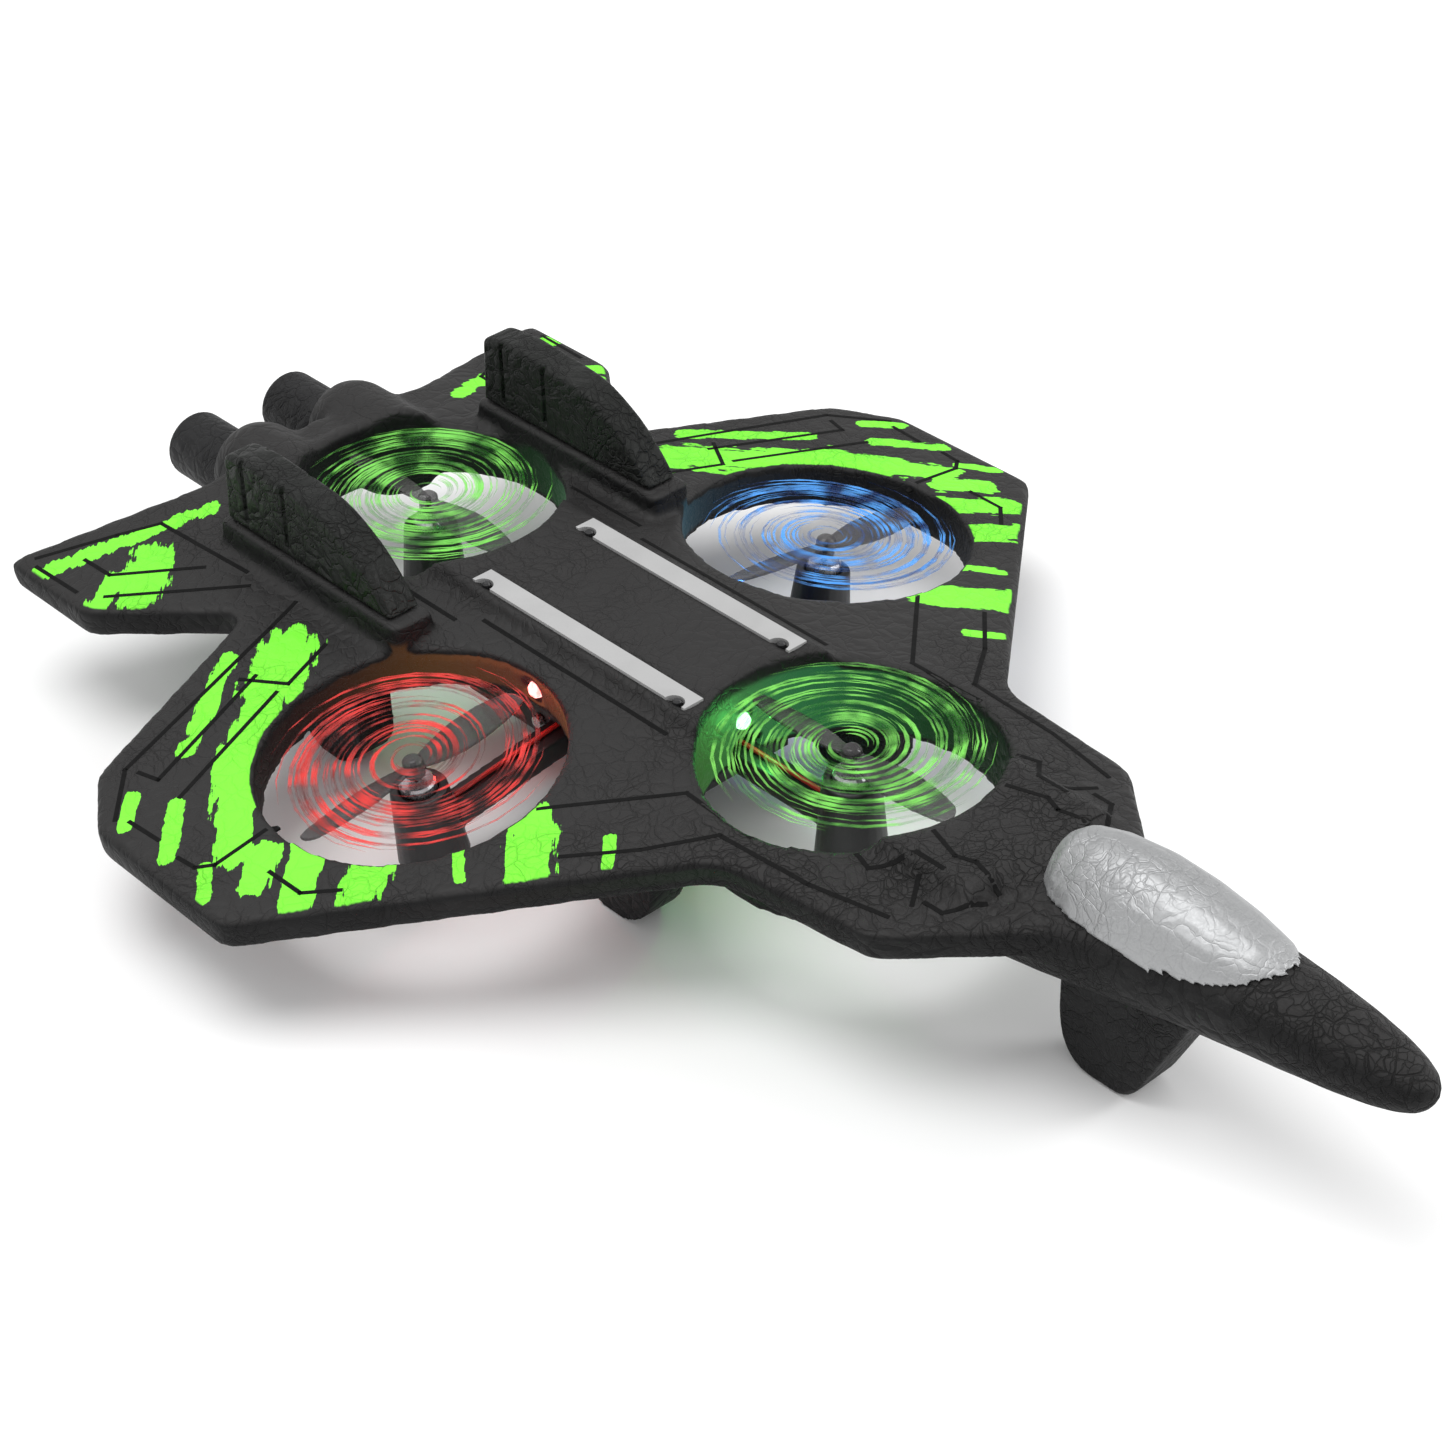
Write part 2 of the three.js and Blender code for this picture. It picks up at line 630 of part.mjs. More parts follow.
function screwHole(station) {
  const { position, turn } = screwPlace(station);
  const radius = SCREW_SHANK_RADIUS + TOUCH_GAP;
  const geometry = new THREE.CylinderGeometry(radius, radius, 2 * SCREW_LENGTH, 12);
  geometry.rotateZ(Math.PI / 2);
  geometry.rotateZ(turn);
  return geometry.translate(...position);
}

// Arm with its motor cup at one end and its flange at the other, in world axes.
function motorHolder(station) {
  const cup = uprightCylinder(0, 0, -POD_BOTTOM_DEPTH, -POD_TOP_DEPTH, POD_RADIUS, POD_RADIUS - POD_TAPER, 24);
  const armMiddle = -ARM_TOP_DEPTH - ARM_HEIGHT / 2;
  const arm = new THREE.BoxGeometry(armReach(station), ARM_WIDTH, ARM_HEIGHT);
  arm.translate(armReach(station) / 2, 0, armMiddle);
  const bore = MOTOR_RADIUS + TOUCH_GAP;
  const boreBottom = -MOTOR_TOP_DEPTH - MOTOR_LENGTH - TOUCH_GAP;
  const motorBore = uprightCylinder(0, 0, boreBottom, 0, bore, bore, 24);
  const body = joinAll([inWorld(station, cup), inWorld(station, arm), flangePlate(station)]);
  const cutters = [
    inWorld(station, motorBore),
    trayEnvelope(TOUCH_GAP),
    screwHole(station),
  ];
  return toGeometry(cutAll(body, cutters));
}

// The pair of wires on top of an arm, from its cup to the tray.
function motorLead(station) {
  const depth = ARM_TOP_DEPTH - LEAD_RADIUS - TOUCH_GAP;
  const stop = FLANGE_THICKNESS + 2 * TOUCH_GAP;
  const { x, y } = station.group.position;
  const inward = Math.abs(x) - depth * Math.sin(ANHEDRAL) - TRAY_HALF_WIDTH - stop;
  const lengthwise = y < TRAY_FRONT_Y ? TRAY_FRONT_Y - y - stop : y - TRAY_REAR_Y - stop;
  const end = Math.abs(x) > 1 ? inward / Math.cos(ANHEDRAL) : lengthwise;
  const from = POD_RADIUS + TOUCH_GAP;
  return spoke(from, end, depth, 0, LEAD_RADIUS, 8);
}

function ledLens(station) {
  const profile = [
    [0, 0],
    [LED_RADIUS, 0],
    [LED_RADIUS, LED_LENGTH - 1.6],
    [LED_RADIUS * 0.8, LED_LENGTH - 0.6],
    [LED_RADIUS * 0.45, LED_LENGTH - 0.1],
    [0, LED_LENGTH],
  ].map(([r, h]) => new THREE.Vector2(r, h));
  const geometry = new THREE.LatheGeometry(profile, 14);
  geometry.rotateZ(Math.PI / 2);
  return geometry.translate(station.radius + LED_LENGTH - LED_PROTRUSION, 0, -station.ledDepth);
}

// ---- Chassis tray with what it holds
const BATTERY_LOW_Z = TRAY_BOTTOM_Z;
const SWITCH_Y = 16;
const SWITCH_Z = 24;

function doorRail(side) {
  const inner = DOOR_HALF_WIDTH + TOUCH_GAP;
  const lowest = TRAY_BOTTOM_Z - DOOR_THICKNESS - 2 * TOUCH_GAP - DOOR_RAIL_THICKNESS;
  const section = shapeThrough([
    [inner, TRAY_BOTTOM_Z + 0.5],
    [inner, lowest + DOOR_RAIL_THICKNESS],
    [inner - DOOR_RAIL_THICKNESS, lowest + DOOR_RAIL_THICKNESS],
    [inner - DOOR_RAIL_THICKNESS, lowest],
    [inner + DOOR_RAIL_THICKNESS, lowest],
    [inner + DOOR_RAIL_THICKNESS, TRAY_BOTTOM_Z + 0.5],
  ]);
  const geometry = new THREE.ExtrudeGeometry(section, { depth: DOOR_REAR_Y - DOOR_FRONT_Y, bevelEnabled: false });
  geometry.rotateX(Math.PI / 2);
  geometry.translate(0, DOOR_REAR_Y, 0);
  if (side < 0) geometry.rotateZ(Math.PI);
  if (side < 0) geometry.translate(0, DOOR_FRONT_Y + DOOR_REAR_Y, 0);
  return geometry;
}

function chassisTray() {
  const outer = boxBetween(
    [-TRAY_HALF_WIDTH, TRAY_FRONT_Y, TRAY_BOTTOM_Z],
    [TRAY_HALF_WIDTH, TRAY_REAR_Y, TRAY_TOP_Z],
  );
  const ledge = 2;
  const inner = TRAY_HALF_WIDTH - TRAY_WALL;
  const floor = TRAY_BOTTOM_Z + TRAY_WALL;
  const lower = boxBetween(
    [-inner + ledge, TRAY_FRONT_Y + TRAY_WALL, floor],
    [inner - ledge, TRAY_REAR_Y - TRAY_WALL, TRAY_TOP_Z],
  );
  const upper = boxBetween(
    [-inner, TRAY_FRONT_Y + TRAY_WALL, BOARD_LEDGE_Z],
    [inner, TRAY_REAR_Y - TRAY_WALL, TRAY_TOP_Z + 1],
  );
  const batteryHalfX = BATTERY_SIZE[0] / 2 + BATTERY_OPENING_CLEARANCE;
  const batteryHalfY = BATTERY_SIZE[1] / 2 + BATTERY_OPENING_CLEARANCE;
  const opening = boxBetween(
    [-batteryHalfX, BATTERY_CENTRE_Y - batteryHalfY, TRAY_BOTTOM_Z - 1],
    [batteryHalfX, BATTERY_CENTRE_Y + batteryHalfY, floor + 1],
  );
  const sliderSlot = boxBetween(
    [-TRAY_HALF_WIDTH - 1, SWITCH_Y - 2.9, SWITCH_Z - 1.2],
    [-inner + ledge + 1, SWITCH_Y + 2.9, SWITCH_Z + 1.2],
  );
  const body = joinAll([outer, doorRail(1), doorRail(-1)]);
  const holes = Object.values(stations).map(screwHole);
  return toGeometry(cutAll(body, [lower, upper, opening, sliderSlot, ...holes]));
}

function batteryDoor() {
  const top = TRAY_BOTTOM_Z - TOUCH_GAP;
  const plate = boxBetween(
    [-DOOR_HALF_WIDTH, DOOR_FRONT_Y, top - DOOR_THICKNESS],
    [DOOR_HALF_WIDTH, DOOR_REAR_Y, top],
  );
  const ribs = [0, 1, 2].map((i) => boxBetween(
    [-6, 20 + 3 * i, top - DOOR_THICKNESS - 0.7],
    [6, 21.2 + 3 * i, top - DOOR_THICKNESS + 0.2],
  ));
  return toGeometry(joinAll([plate, ...ribs]));
}

function battery() {
  const [width, length, height] = BATTERY_SIZE;
  const half = width / 2;
  const shape = roundedShape([[-half, 0, 2], [half, 0, 2], [half, height, 2], [-half, height, 2]]);
  const geometry = roundedPlate(shape, 0, length, 0, 3);
  geometry.rotateX(Math.PI / 2);
  return geometry.translate(0, BATTERY_CENTRE_Y + length / 2, BATTERY_LOW_Z);
}

function circuitBoard() {
  const halfWidth = TRAY_HALF_WIDTH - TRAY_WALL - TOUCH_GAP;
  const low = BOARD_LEDGE_Z + TOUCH_GAP;
  const board = boxBetween([-halfWidth, 10, low], [halfWidth, 66, low + BOARD_THICKNESS]);
  const chips = [
    [[-4, 24], [4, 32], 1.4],
    [[-12, 40], [-6, 45], 1.2],
    [[5, 44], [12, 52], 2.2],
    [[-3, 54], [3, 62], 3.4],
  ].map(([low2, high2, height]) => boxBetween(
    [...low2, low + BOARD_THICKNESS / 2],
    [...high2, low + BOARD_THICKNESS + height],
  ));
  return toGeometry(joinAll([board, ...chips]));
}

function switchBody() {
  const wallX = -TRAY_HALF_WIDTH + TRAY_WALL + 2 + TOUCH_GAP;
  return boxBetween([wallX, SWITCH_Y - 4.2, SWITCH_Z - 2], [wallX + 4.5, SWITCH_Y + 4.2, SWITCH_Z + 2]);
}

function switchSlider() {
  const inner = -TRAY_HALF_WIDTH + TRAY_WALL + 2;
  return boxBetween([-TRAY_HALF_WIDTH - 1.8, SWITCH_Y - 2.5, SWITCH_Z - 0.9], [inner, SWITCH_Y - 0.1, SWITCH_Z + 0.9]);
}

// ---- Landing gear
function noseSkid() {
  const shape = new THREE.Shape();
  shape.moveTo(-102, 30);
  shape.lineTo(-102, 14);
  shape.quadraticCurveTo(-102.5, 0, -112, 0);
  shape.lineTo(-118, 0);
  shape.quadraticCurveTo(-122, 0, -124.5, 5);
  shape.lineTo(-137, 30);
  shape.closePath();
  const plate = sidePlate(shape, -6.5, 6.5, 1, 6);
  return toGeometry(cutAll(toSolid(plate), [noseBody(TOUCH_GAP + 0.05)]));
}

// A foot: a round-bottomed block from the ground up to the underside of the wing sheet.
function foot(lowX, highX, centreY) {
  const radius = 13.5;
  const centreZ = 13;
  const shape = new THREE.Shape();
  const flat = Math.sqrt(radius ** 2 - centreZ ** 2);
  const flatAngle = Math.atan2(centreZ, flat);
  shape.moveTo(centreY - flat, 0);
  shape.lineTo(centreY + flat, 0);
  shape.absarc(centreY, centreZ, radius, -flatAngle, 0, false);
  shape.lineTo(centreY + radius - 2, DECK_TOP_Z);
  shape.lineTo(centreY - radius + 2, DECK_TOP_Z);
  shape.absarc(centreY, centreZ, radius, Math.PI, Math.PI + flatAngle, false);
  shape.closePath();
  const plate = sidePlate(shape, lowX, highX, 0, 7);
  const low = boxBetween([-200, centreY - 40, -PLATE_THICKNESS - TOUCH_GAP], [200, centreY + 40, 40]);
  low.rotateY(Math.sign(lowX) * ANHEDRAL);
  low.translate(0, 0, RIDGE_Z);
  const trims = [
    low,
    uprightCylinder(0, FRONT_DUCT_Y, 0, DECK_TOP_Z,
      FRONT_DUCT_RADIUS + BODY_SKIRT_WALL + TOUCH_GAP, FRONT_DUCT_RADIUS + BODY_SKIRT_WALL + TOUCH_GAP, 48),
    uprightCylinder(0, REAR_DUCT_Y, 0, DECK_TOP_Z,
      REAR_DUCT_RADIUS + BODY_SKIRT_WALL + TOUCH_GAP, REAR_DUCT_RADIUS + BODY_SKIRT_WALL + TOUCH_GAP, 48),
    ...[stations.left, stations.right].map((station) => inWorld(station, uprightCylinder(0, 0, -60, 5,
      station.radius + WING_COLLAR_WALL + TOUCH_GAP, station.radius + WING_COLLAR_WALL + TOUCH_GAP, 48))),
  ];
  return toGeometry(cutAll(toSolid(plate), trims));
}

// ---- Materials
function material(color, roughness, metalness = 0) {
  return new THREE.MeshStandardMaterial({ color, roughness, metalness });
}

const MATERIALS = {
  foam: material(0x3a3838, 0.75),
  silver: material(0xb4b6ba, 0.35, 0.6),
  finFoam: material(0x252a26, 0.7),
  strip: material(0xbebebe, 0.45),
  black: material(0x161616, 0.5),
  chassis: material(0x202022, 0.45),
  smoke: new THREE.MeshStandardMaterial({ color: 0x4a4a50, roughness: 0.3, transparent: true, opacity: 0.6 }),
  metal: material(0xa8a8ac, 0.3, 0.9),
  board: material(0x1f5a34, 0.5),
  battery: material(0x7d8792, 0.4),
  rubber: material(0x121212, 0.8),
  lead: material(0xb02020, 0.5),
  ledGreen: material(0x40ff50, 0.2),
  ledRed: material(0xff3020, 0.2),
  ledBlue: material(0x3080ff, 0.2),
};

// ---- Assembly
const model = new THREE.Group();

function add(name, geometry, meshMaterial, parent = model) {
  const mesh = new THREE.Mesh(geometry, meshMaterial);
  mesh.name = name;
  parent.add(mesh);
  return mesh;
}

add('airframe_foam', airframe(), MATERIALS.foam);
add('canopy', canopy(), MATERIALS.silver);
add('fin_left', fin(1), MATERIALS.finFoam);
add('fin_right', fin(-1), MATERIALS.finFoam);
for (const [side, name] of [[1, 'left'], [-1, 'right']]) {
  add(`nozzle_${name}`, nozzle(), MATERIALS.black).position.set(side * NOZZLE_X, 0, NOZZLE_Z);
  const lowX = STRIP_LOW_X[name];
  const bar = add(`stiffener_strip_${name}`, strip(), MATERIALS.strip);
  bar.position.set(lowX, STRIP_FRONT_Y, DECK_TOP_Z - STRIP_THICKNESS);
  stripNotchYs().forEach((y, i) => {
    const post = add(`clip_post_${name}_${i === 0 ? 'front' : 'rear'}`, clipPost(), MATERIALS.black);
    post.position.set(lowX + CLIP_POST_RADIUS + 0.1, y, 0);
  });
}

const LED_MATERIALS = {
  front: MATERIALS.ledGreen, rear: MATERIALS.ledGreen, left: MATERIALS.ledBlue, right: MATERIALS.ledRed,
};
for (const [name, station] of Object.entries(stations)) {
  model.add(station.group);
  add(`motor_${name}`, motor(), MATERIALS.metal, station.group);
  add(`motor_shaft_${name}`, motorShaft(), MATERIALS.metal, station.group);
  add(`propeller_${name}`, propeller(), MATERIALS.smoke, station.group);
  add(`led_lens_${name}`, ledLens(station), LED_MATERIALS[name], station.group);
  add(`motor_lead_${name}`, motorLead(station), MATERIALS.lead, station.group);
  add(`motor_holder_${name}`, motorHolder(station), MATERIALS.chassis);
  const { position, turn } = screwPlace(station);
  const fastener = add(`arm_screw_${name}`, screw(), MATERIALS.metal);
  fastener.position.set(...position);
  fastener.rotation.z = turn;
}

add('chassis_tray', chassisTray(), MATERIALS.chassis);
add('circuit_board', circuitBoard(), MATERIALS.board);
add('battery', battery(), MATERIALS.battery);
add('battery_door', batteryDoor(), MATERIALS.chassis);
add('power_switch_body', switchBody(), MATERIALS.black);
add('switch_slider', switchSlider(), MATERIALS.strip);
add('nose_skid', noseSkid(), MATERIALS.rubber);
add('foot_front_left', foot(31, 41, -1), MATERIALS.rubber);
add('foot_front_right', foot(-41, -31, -1), MATERIALS.rubber);
add('foot_rear_left', foot(40, 50, 91), MATERIALS.rubber);
add('foot_rear_right', foot(-50, -40, 91), MATERIALS.rubber);

export default model;
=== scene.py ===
import bpy
import bmesh
import math
from mathutils import Matrix, Vector
from mathutils.bvhtree import BVHTree


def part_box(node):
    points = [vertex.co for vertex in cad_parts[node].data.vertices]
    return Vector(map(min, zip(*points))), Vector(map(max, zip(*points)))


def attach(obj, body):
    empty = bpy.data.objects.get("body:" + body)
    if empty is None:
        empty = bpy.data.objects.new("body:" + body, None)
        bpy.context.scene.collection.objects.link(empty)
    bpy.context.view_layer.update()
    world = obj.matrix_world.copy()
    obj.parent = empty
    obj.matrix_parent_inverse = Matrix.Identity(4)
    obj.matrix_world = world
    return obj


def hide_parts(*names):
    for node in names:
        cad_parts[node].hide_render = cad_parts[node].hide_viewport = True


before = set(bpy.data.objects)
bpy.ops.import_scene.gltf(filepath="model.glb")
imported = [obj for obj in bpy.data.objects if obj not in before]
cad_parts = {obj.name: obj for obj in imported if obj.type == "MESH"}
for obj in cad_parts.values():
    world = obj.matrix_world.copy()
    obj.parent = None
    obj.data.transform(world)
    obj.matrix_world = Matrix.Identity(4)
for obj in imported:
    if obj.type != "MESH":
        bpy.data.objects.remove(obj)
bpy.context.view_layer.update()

# ---- Camera ----------------------------------------------------------------
# A long lens 36 degrees up, ahead of the wing on the flyer's right-hand side.
# It looks at the deck just ahead of the middle of the flyer.
CAMERA_AZIMUTH = math.radians(-41.949)
CAMERA_ELEVATION = math.radians(35.932)
CAMERA_ROLL = math.radians(-1.659)
CAMERA_TARGET = Vector((-0.01587, -0.01125, 0.0442))
CAMERA_DISTANCE = 0.6949
CAMERA_LENS = 79.59

back = Vector((
    math.sin(CAMERA_AZIMUTH) * math.cos(CAMERA_ELEVATION),
    -math.cos(CAMERA_AZIMUTH) * math.cos(CAMERA_ELEVATION),
    math.sin(CAMERA_ELEVATION),
))
level_right = Vector((math.cos(CAMERA_AZIMUTH), math.sin(CAMERA_AZIMUTH), 0))
level_up = back.cross(level_right)
roll_cos = math.cos(CAMERA_ROLL)
roll_sin = math.sin(CAMERA_ROLL)
right = roll_cos * level_right + roll_sin * level_up
up = -roll_sin * level_right + roll_cos * level_up
camera_data = bpy.data.cameras.new("studio_camera")
camera_data.lens = CAMERA_LENS
camera_data.sensor_width = 36
camera_data.sensor_fit = "VERTICAL"
camera_data.sensor_height = 36
camera_data.clip_start = 0.01
camera_data.clip_end = 20
camera = bpy.data.objects.new("studio_camera", camera_data)
bpy.context.scene.collection.objects.link(camera)
camera.matrix_world = Matrix.Translation(CAMERA_TARGET + CAMERA_DISTANCE * back) @ Matrix(
    (right, up, back)).transposed().to_4x4()
bpy.context.scene.camera = camera
bpy.context.scene.view_settings.view_transform = "Standard"

# ---- Studio floor and lights -----------------------------------------------
# A plain white floor under the flyer, one wide soft light overhead, a smaller
# one ahead on the left wing's side for the nose's edge, and even fill all round.


def add_node(tree, kind, feeds=None, **settings):
    """A node with its settings made and its inputs fed by sockets or values."""
    node = tree.nodes.new(kind)
    for name, value in settings.items():
        setattr(node, name, value)
    for name, value in (feeds or {}).items():
        if isinstance(value, bpy.types.NodeSocket):
            tree.links.new(value, node.inputs[name])
        else:
            node.inputs[name].default_value = value
    return node


def calc(tree, operation, first, second=0.0, third=0.0, clamp=False):
    """The output of a Math node."""
    feeds = {0: first, 1: second}
    if operation in ("MULTIPLY_ADD", "SMOOTH_MIN", "SMOOTH_MAX"):
        feeds[2] = third
    node = add_node(tree, "ShaderNodeMath", feeds, operation=operation, use_clamp=clamp)
    return node.outputs[0]


def ramp(tree, value, low, high, low_out=0.0, high_out=1.0):
    """A smooth step of value between low and high."""
    node = add_node(tree, "ShaderNodeMapRange", {
        "Value": value, "From Min": low, "From Max": high,
        "To Min": low_out, "To Max": high_out,
    }, interpolation_type="SMOOTHSTEP")
    return node.outputs[0]


def mix_colour(tree, factor, first, second, blend="MIX"):
    node = tree.nodes.new("ShaderNodeMix")
    node.data_type = "RGBA"
    node.blend_type = blend
    for index, value in ((0, factor), (6, first), (7, second)):
        if isinstance(value, bpy.types.NodeSocket):
            tree.links.new(value, node.inputs[index])
        else:
            node.inputs[index].default_value = value
    return node.outputs[2]


def new_material(name):
    """An empty node material with a Principled shader wired to its output."""
    made = bpy.data.materials.new(name)
    made.use_nodes = True
    tree = made.node_tree
    tree.nodes.clear()
    shader = tree.nodes.new("ShaderNodeBsdfPrincipled")
    output = tree.nodes.new("ShaderNodeOutputMaterial")
    tree.links.new(shader.outputs[0], output.inputs[0])
    return made, tree, shader


FLOOR_HALF_SIZE = 3.0
FLOOR_DROP = 0.0003
floor_mesh = bpy.data.meshes.new("studio_floor")
floor_mesh.from_pydata(
    [(x * FLOOR_HALF_SIZE, y * FLOOR_HALF_SIZE, -FLOOR_DROP)
     for x, y in ((-1, -1), (1, -1), (1, 1), (-1, 1))], [], [(0, 1, 2, 3)])
floor = bpy.data.objects.new("studio_floor", floor_mesh)
bpy.context.scene.collection.objects.link(floor)
floor_paper, tree, shader = new_material("floor_paper")
shader.inputs["Base Color"].default_value = (0.93, 0.93, 0.93, 1)
shader.inputs["Roughness"].default_value = 0.9
shader.inputs["Specular IOR Level"].default_value = 0.0
floor_mesh.materials.append(floor_paper)

FILL_STRENGTH = 0.85
world = bpy.data.worlds.new("studio_fill")
world.use_nodes = True
world.node_tree.nodes["Background"].inputs[0].default_value = (1, 1, 1, 1)
world.node_tree.nodes["Background"].inputs[1].default_value = FILL_STRENGTH
bpy.context.scene.world = world


def soft_light(name, place, target, size, power, colour=(1, 1, 1)):
    data = bpy.data.lights.new(name, "AREA")
    data.shape = "DISK"
    data.size = size
    data.energy = power
    data.color = colour
    lamp = bpy.data.objects.new(name, data)
    bpy.context.scene.collection.objects.link(lamp)
    lamp.location = place
    lamp.rotation_euler = (Vector(target) - Vector(place)).to_track_quat("-Z", "Y").to_euler()
    return lamp


soft_light("overhead_softbox", (-0.3, 0.3, 1.6), (0, 0, 0), 1.2, 14)
soft_light("nose_edge_light", (1.0, -0.7, 0.7), (0, -0.1, 0.04), 0.5, 5)

# ---- Foam airframe ---------------------------------------------------------
# One moulding of expanded foam: both drooped wing halves, deck, nose and duct
# walls. Its skin is crinkled like leather, the top is sprayed charcoal and lime,
# and panel lines are pressed into it. The sides are painted near black as painted
# shade, the creases are darkened as painted shade, and the lamps' glow on the duct
# walls is painted in as emission.
MM = 0.001
FOAM_VOXEL = 1.25 * MM
LINE_WIDTH = 1.05
LINE_RISE = 0.07 * MM
LINE_SINK = 0.5 * MM
LINE_STEP = 1.6
RAY_START_Z = 0.1


def merged_copy(node, name):
    """A copy of a CAD node's mesh with its loose triangles joined."""
    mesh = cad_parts[node].data.copy()
    mesh.name = name
    mesh.materials.clear()
    work = bmesh.new()
    work.from_mesh(mesh)
    bmesh.ops.remove_doubles(work, verts=work.verts, dist=1e-6)
    work.to_mesh(mesh)
    work.free()
    piece = bpy.data.objects.new(name, mesh)
    bpy.context.scene.collection.objects.link(piece)
    return piece


def settle(piece):
    """Applies a piece's modifiers to its mesh."""
    bpy.context.view_layer.update()
    evaluated = piece.evaluated_get(bpy.context.evaluated_depsgraph_get())
    mesh = bpy.data.meshes.new_from_object(evaluated)
    piece.modifiers.clear()
    piece.data = mesh
    return piece


def soften(piece, voxel, rounds):
    """Remeshes a piece finely and rounds its edges, as moulded foam has them."""
    remesh = piece.modifiers.new("fine_skin", "REMESH")
    remesh.mode = "VOXEL"
    remesh.voxel_size = voxel
    remesh.use_smooth_shade = True
    smooth = piece.modifiers.new("soft_edges", "SMOOTH")
    smooth.factor = 0.5
    smooth.iterations = rounds
    settle(piece)
    piece.data.shade_smooth()
    return piece


airframe = soften(merged_copy("airframe_foam", "airframe_skin"), FOAM_VOXEL, 5)

# Panel lines of one wing half, in millimetres outboard and aft of the middle.
WING_LINES = [
    [(48.4, 100.9), (57.8, 98.1), (109, 83.9), (120, 71.9)],
    [(70.5, 86.8), (106.1, 75.2), (107.5, 80.6)],
    [(71, 78.2), (106.3, 66.6)],
    [(118.3, 68.7), (117.6, 59)],
    [(118.1, 50.8), (117.5, 45.4), (114.2, 42.7), (97.4, 43)],
    [(73.5, 88.5), (67.4, 78.4), (53.4, 82.8)],
    [(107.8, 31.5), (107.5, 21.2), (101.4, 15.2)],
    [(58, 1.5), (34.4, -19.8), (34.9, -40.1)],
    [(64.8, -13.5), (52.6, -25.1), (38.9, -34.8), (37.2, -60), (33.5, -79)],
    [(24.5, -61.3), (26, -66), (18.5, -72.6), (18.5, -80)],
    [(11.1, -70.4), (14, -79.2), (12.4, -83.5), (14.6, -92)],
    [(21.9, -76.4), (27.9, -80.5)],
    [(25.8, -82.2), (25.7, -86.8), (18.5, -92)],
    [(50.4, 152.5), (48.6, 119.8)],
    [(70.8, 155.6), (70.4, 145.7), (54, 129.7)],
    [(75.9, 139.6), (51.5, 115.1)],
    [(80, 163), (79.4, 147)],
    [(50.4, 152.5), (60, 157.5), (78, 166)],
    [(24.4, -2), (24.4, 60)],
    [(28.5, 66), (28.5, 92)],
]


def draped_lines(name, lines, ground, width, rise, sink):
    """Thin black bars laid along the lines and draped on the surface under them."""
    tree = BVHTree.FromObject(ground, bpy.context.evaluated_depsgraph_get())
    work = bmesh.new()
    for points in lines:
        for (x0, y0), (x1, y1) in zip(points, points[1:]):
            start = Vector((x0, y0))
            run = Vector((x1 - x0, y1 - y0))
            along = run.normalized() * width / 2
            side = Vector((-along.y, along.x))
            start -= along
            run += 2 * along
            count = max(1, round(run.length / LINE_STEP))
            rings = []
            for i in range(count + 1):
                ring = []
                for sign in (-1, 1):
                    spot = start + run * i / count + sign * side
                    above = Vector((spot.x * MM, spot.y * MM, RAY_START_Z))
                    hit = tree.ray_cast(above, Vector((0, 0, -1)))[0]
                    level = hit.z if hit else 0.03
                    ring += [work.verts.new((spot.x * MM, spot.y * MM, level - sink)),
                             work.verts.new((spot.x * MM, spot.y * MM, level + rise))]
                rings.append(ring)
            for first, second in zip(rings, rings[1:]):
                for i, j in ((0, 1), (1, 3), (3, 2), (2, 0)):
                    work.faces.new((first[i], first[j], second[j], second[i]))
            work.faces.new([rings[0][i] for i in (0, 2, 3, 1)])
            work.faces.new([rings[-1][i] for i in (0, 1, 3, 2)])
    bmesh.ops.recalc_face_normals(work, faces=work.faces)
    mesh = bpy.data.meshes.new(name)
    work.to_mesh(mesh)
    work.free()
    bars = bpy.data.objects.new(name, mesh)
    bpy.context.scene.collection.objects.link(bars)
    return bars


# Crinkled foam skin: creased cells of two sizes with fine grain between them.
crinkle = bpy.data.node_groups.new("foam_crinkle", "ShaderNodeTree")
crinkle.interface.new_socket("Vector", in_out="INPUT", socket_type="NodeSocketVector")
cell_input = crinkle.interface.new_socket("Cells per Metre", in_out="INPUT", socket_type="NodeSocketFloat")
cell_input.default_value = 170
for output_name in ("Height", "Crease", "Mottle"):
    crinkle.interface.new_socket(output_name, in_out="OUTPUT", socket_type="NodeSocketFloat")
entry = crinkle.nodes.new("NodeGroupInput")
leave = crinkle.nodes.new("NodeGroupOutput")
wander = add_node(crinkle, "ShaderNodeTexNoise", {
    "Vector": entry.outputs["Vector"], "Scale": 90.0, "Detail": 3.0})
shift = add_node(crinkle, "ShaderNodeVectorMath", {
    0: wander.outputs["Color"], 1: (0.5, 0.5, 0.5)}, operation="SUBTRACT")
bend = add_node(crinkle, "ShaderNodeVectorMath", {
    0: shift.outputs[0], 1: (0.011, 0.011, 0.011), 2: entry.outputs["Vector"]}, operation="MULTIPLY_ADD")
large = add_node(crinkle, "ShaderNodeTexVoronoi", {
    "Vector": bend.outputs[0], "Scale": entry.outputs["Cells per Metre"], "Randomness": 1.0},
    feature="DISTANCE_TO_EDGE")
fine_scale = calc(crinkle, "MULTIPLY", entry.outputs["Cells per Metre"], 2.3)
small = add_node(crinkle, "ShaderNodeTexVoronoi", {
    "Vector": bend.outputs[0], "Scale": fine_scale}, feature="DISTANCE_TO_EDGE")
patch = add_node(crinkle, "ShaderNodeTexNoise", {
    "Vector": entry.outputs["Vector"], "Scale": 38.0, "Detail": 2.0})
grain = add_node(crinkle, "ShaderNodeTexNoise", {
    "Vector": entry.outputs["Vector"], "Scale": 1600.0, "Detail": 2.0})
deep = ramp(crinkle, large.outputs["Distance"], 0.0, 0.06, 0.8, 0.0)
# Noise patches that make the creases deeper in some places. The materials darken these creases as painted
# shade.
crease_depth_patches = ramp(crinkle, patch.outputs["Fac"], 0.38, 0.62)
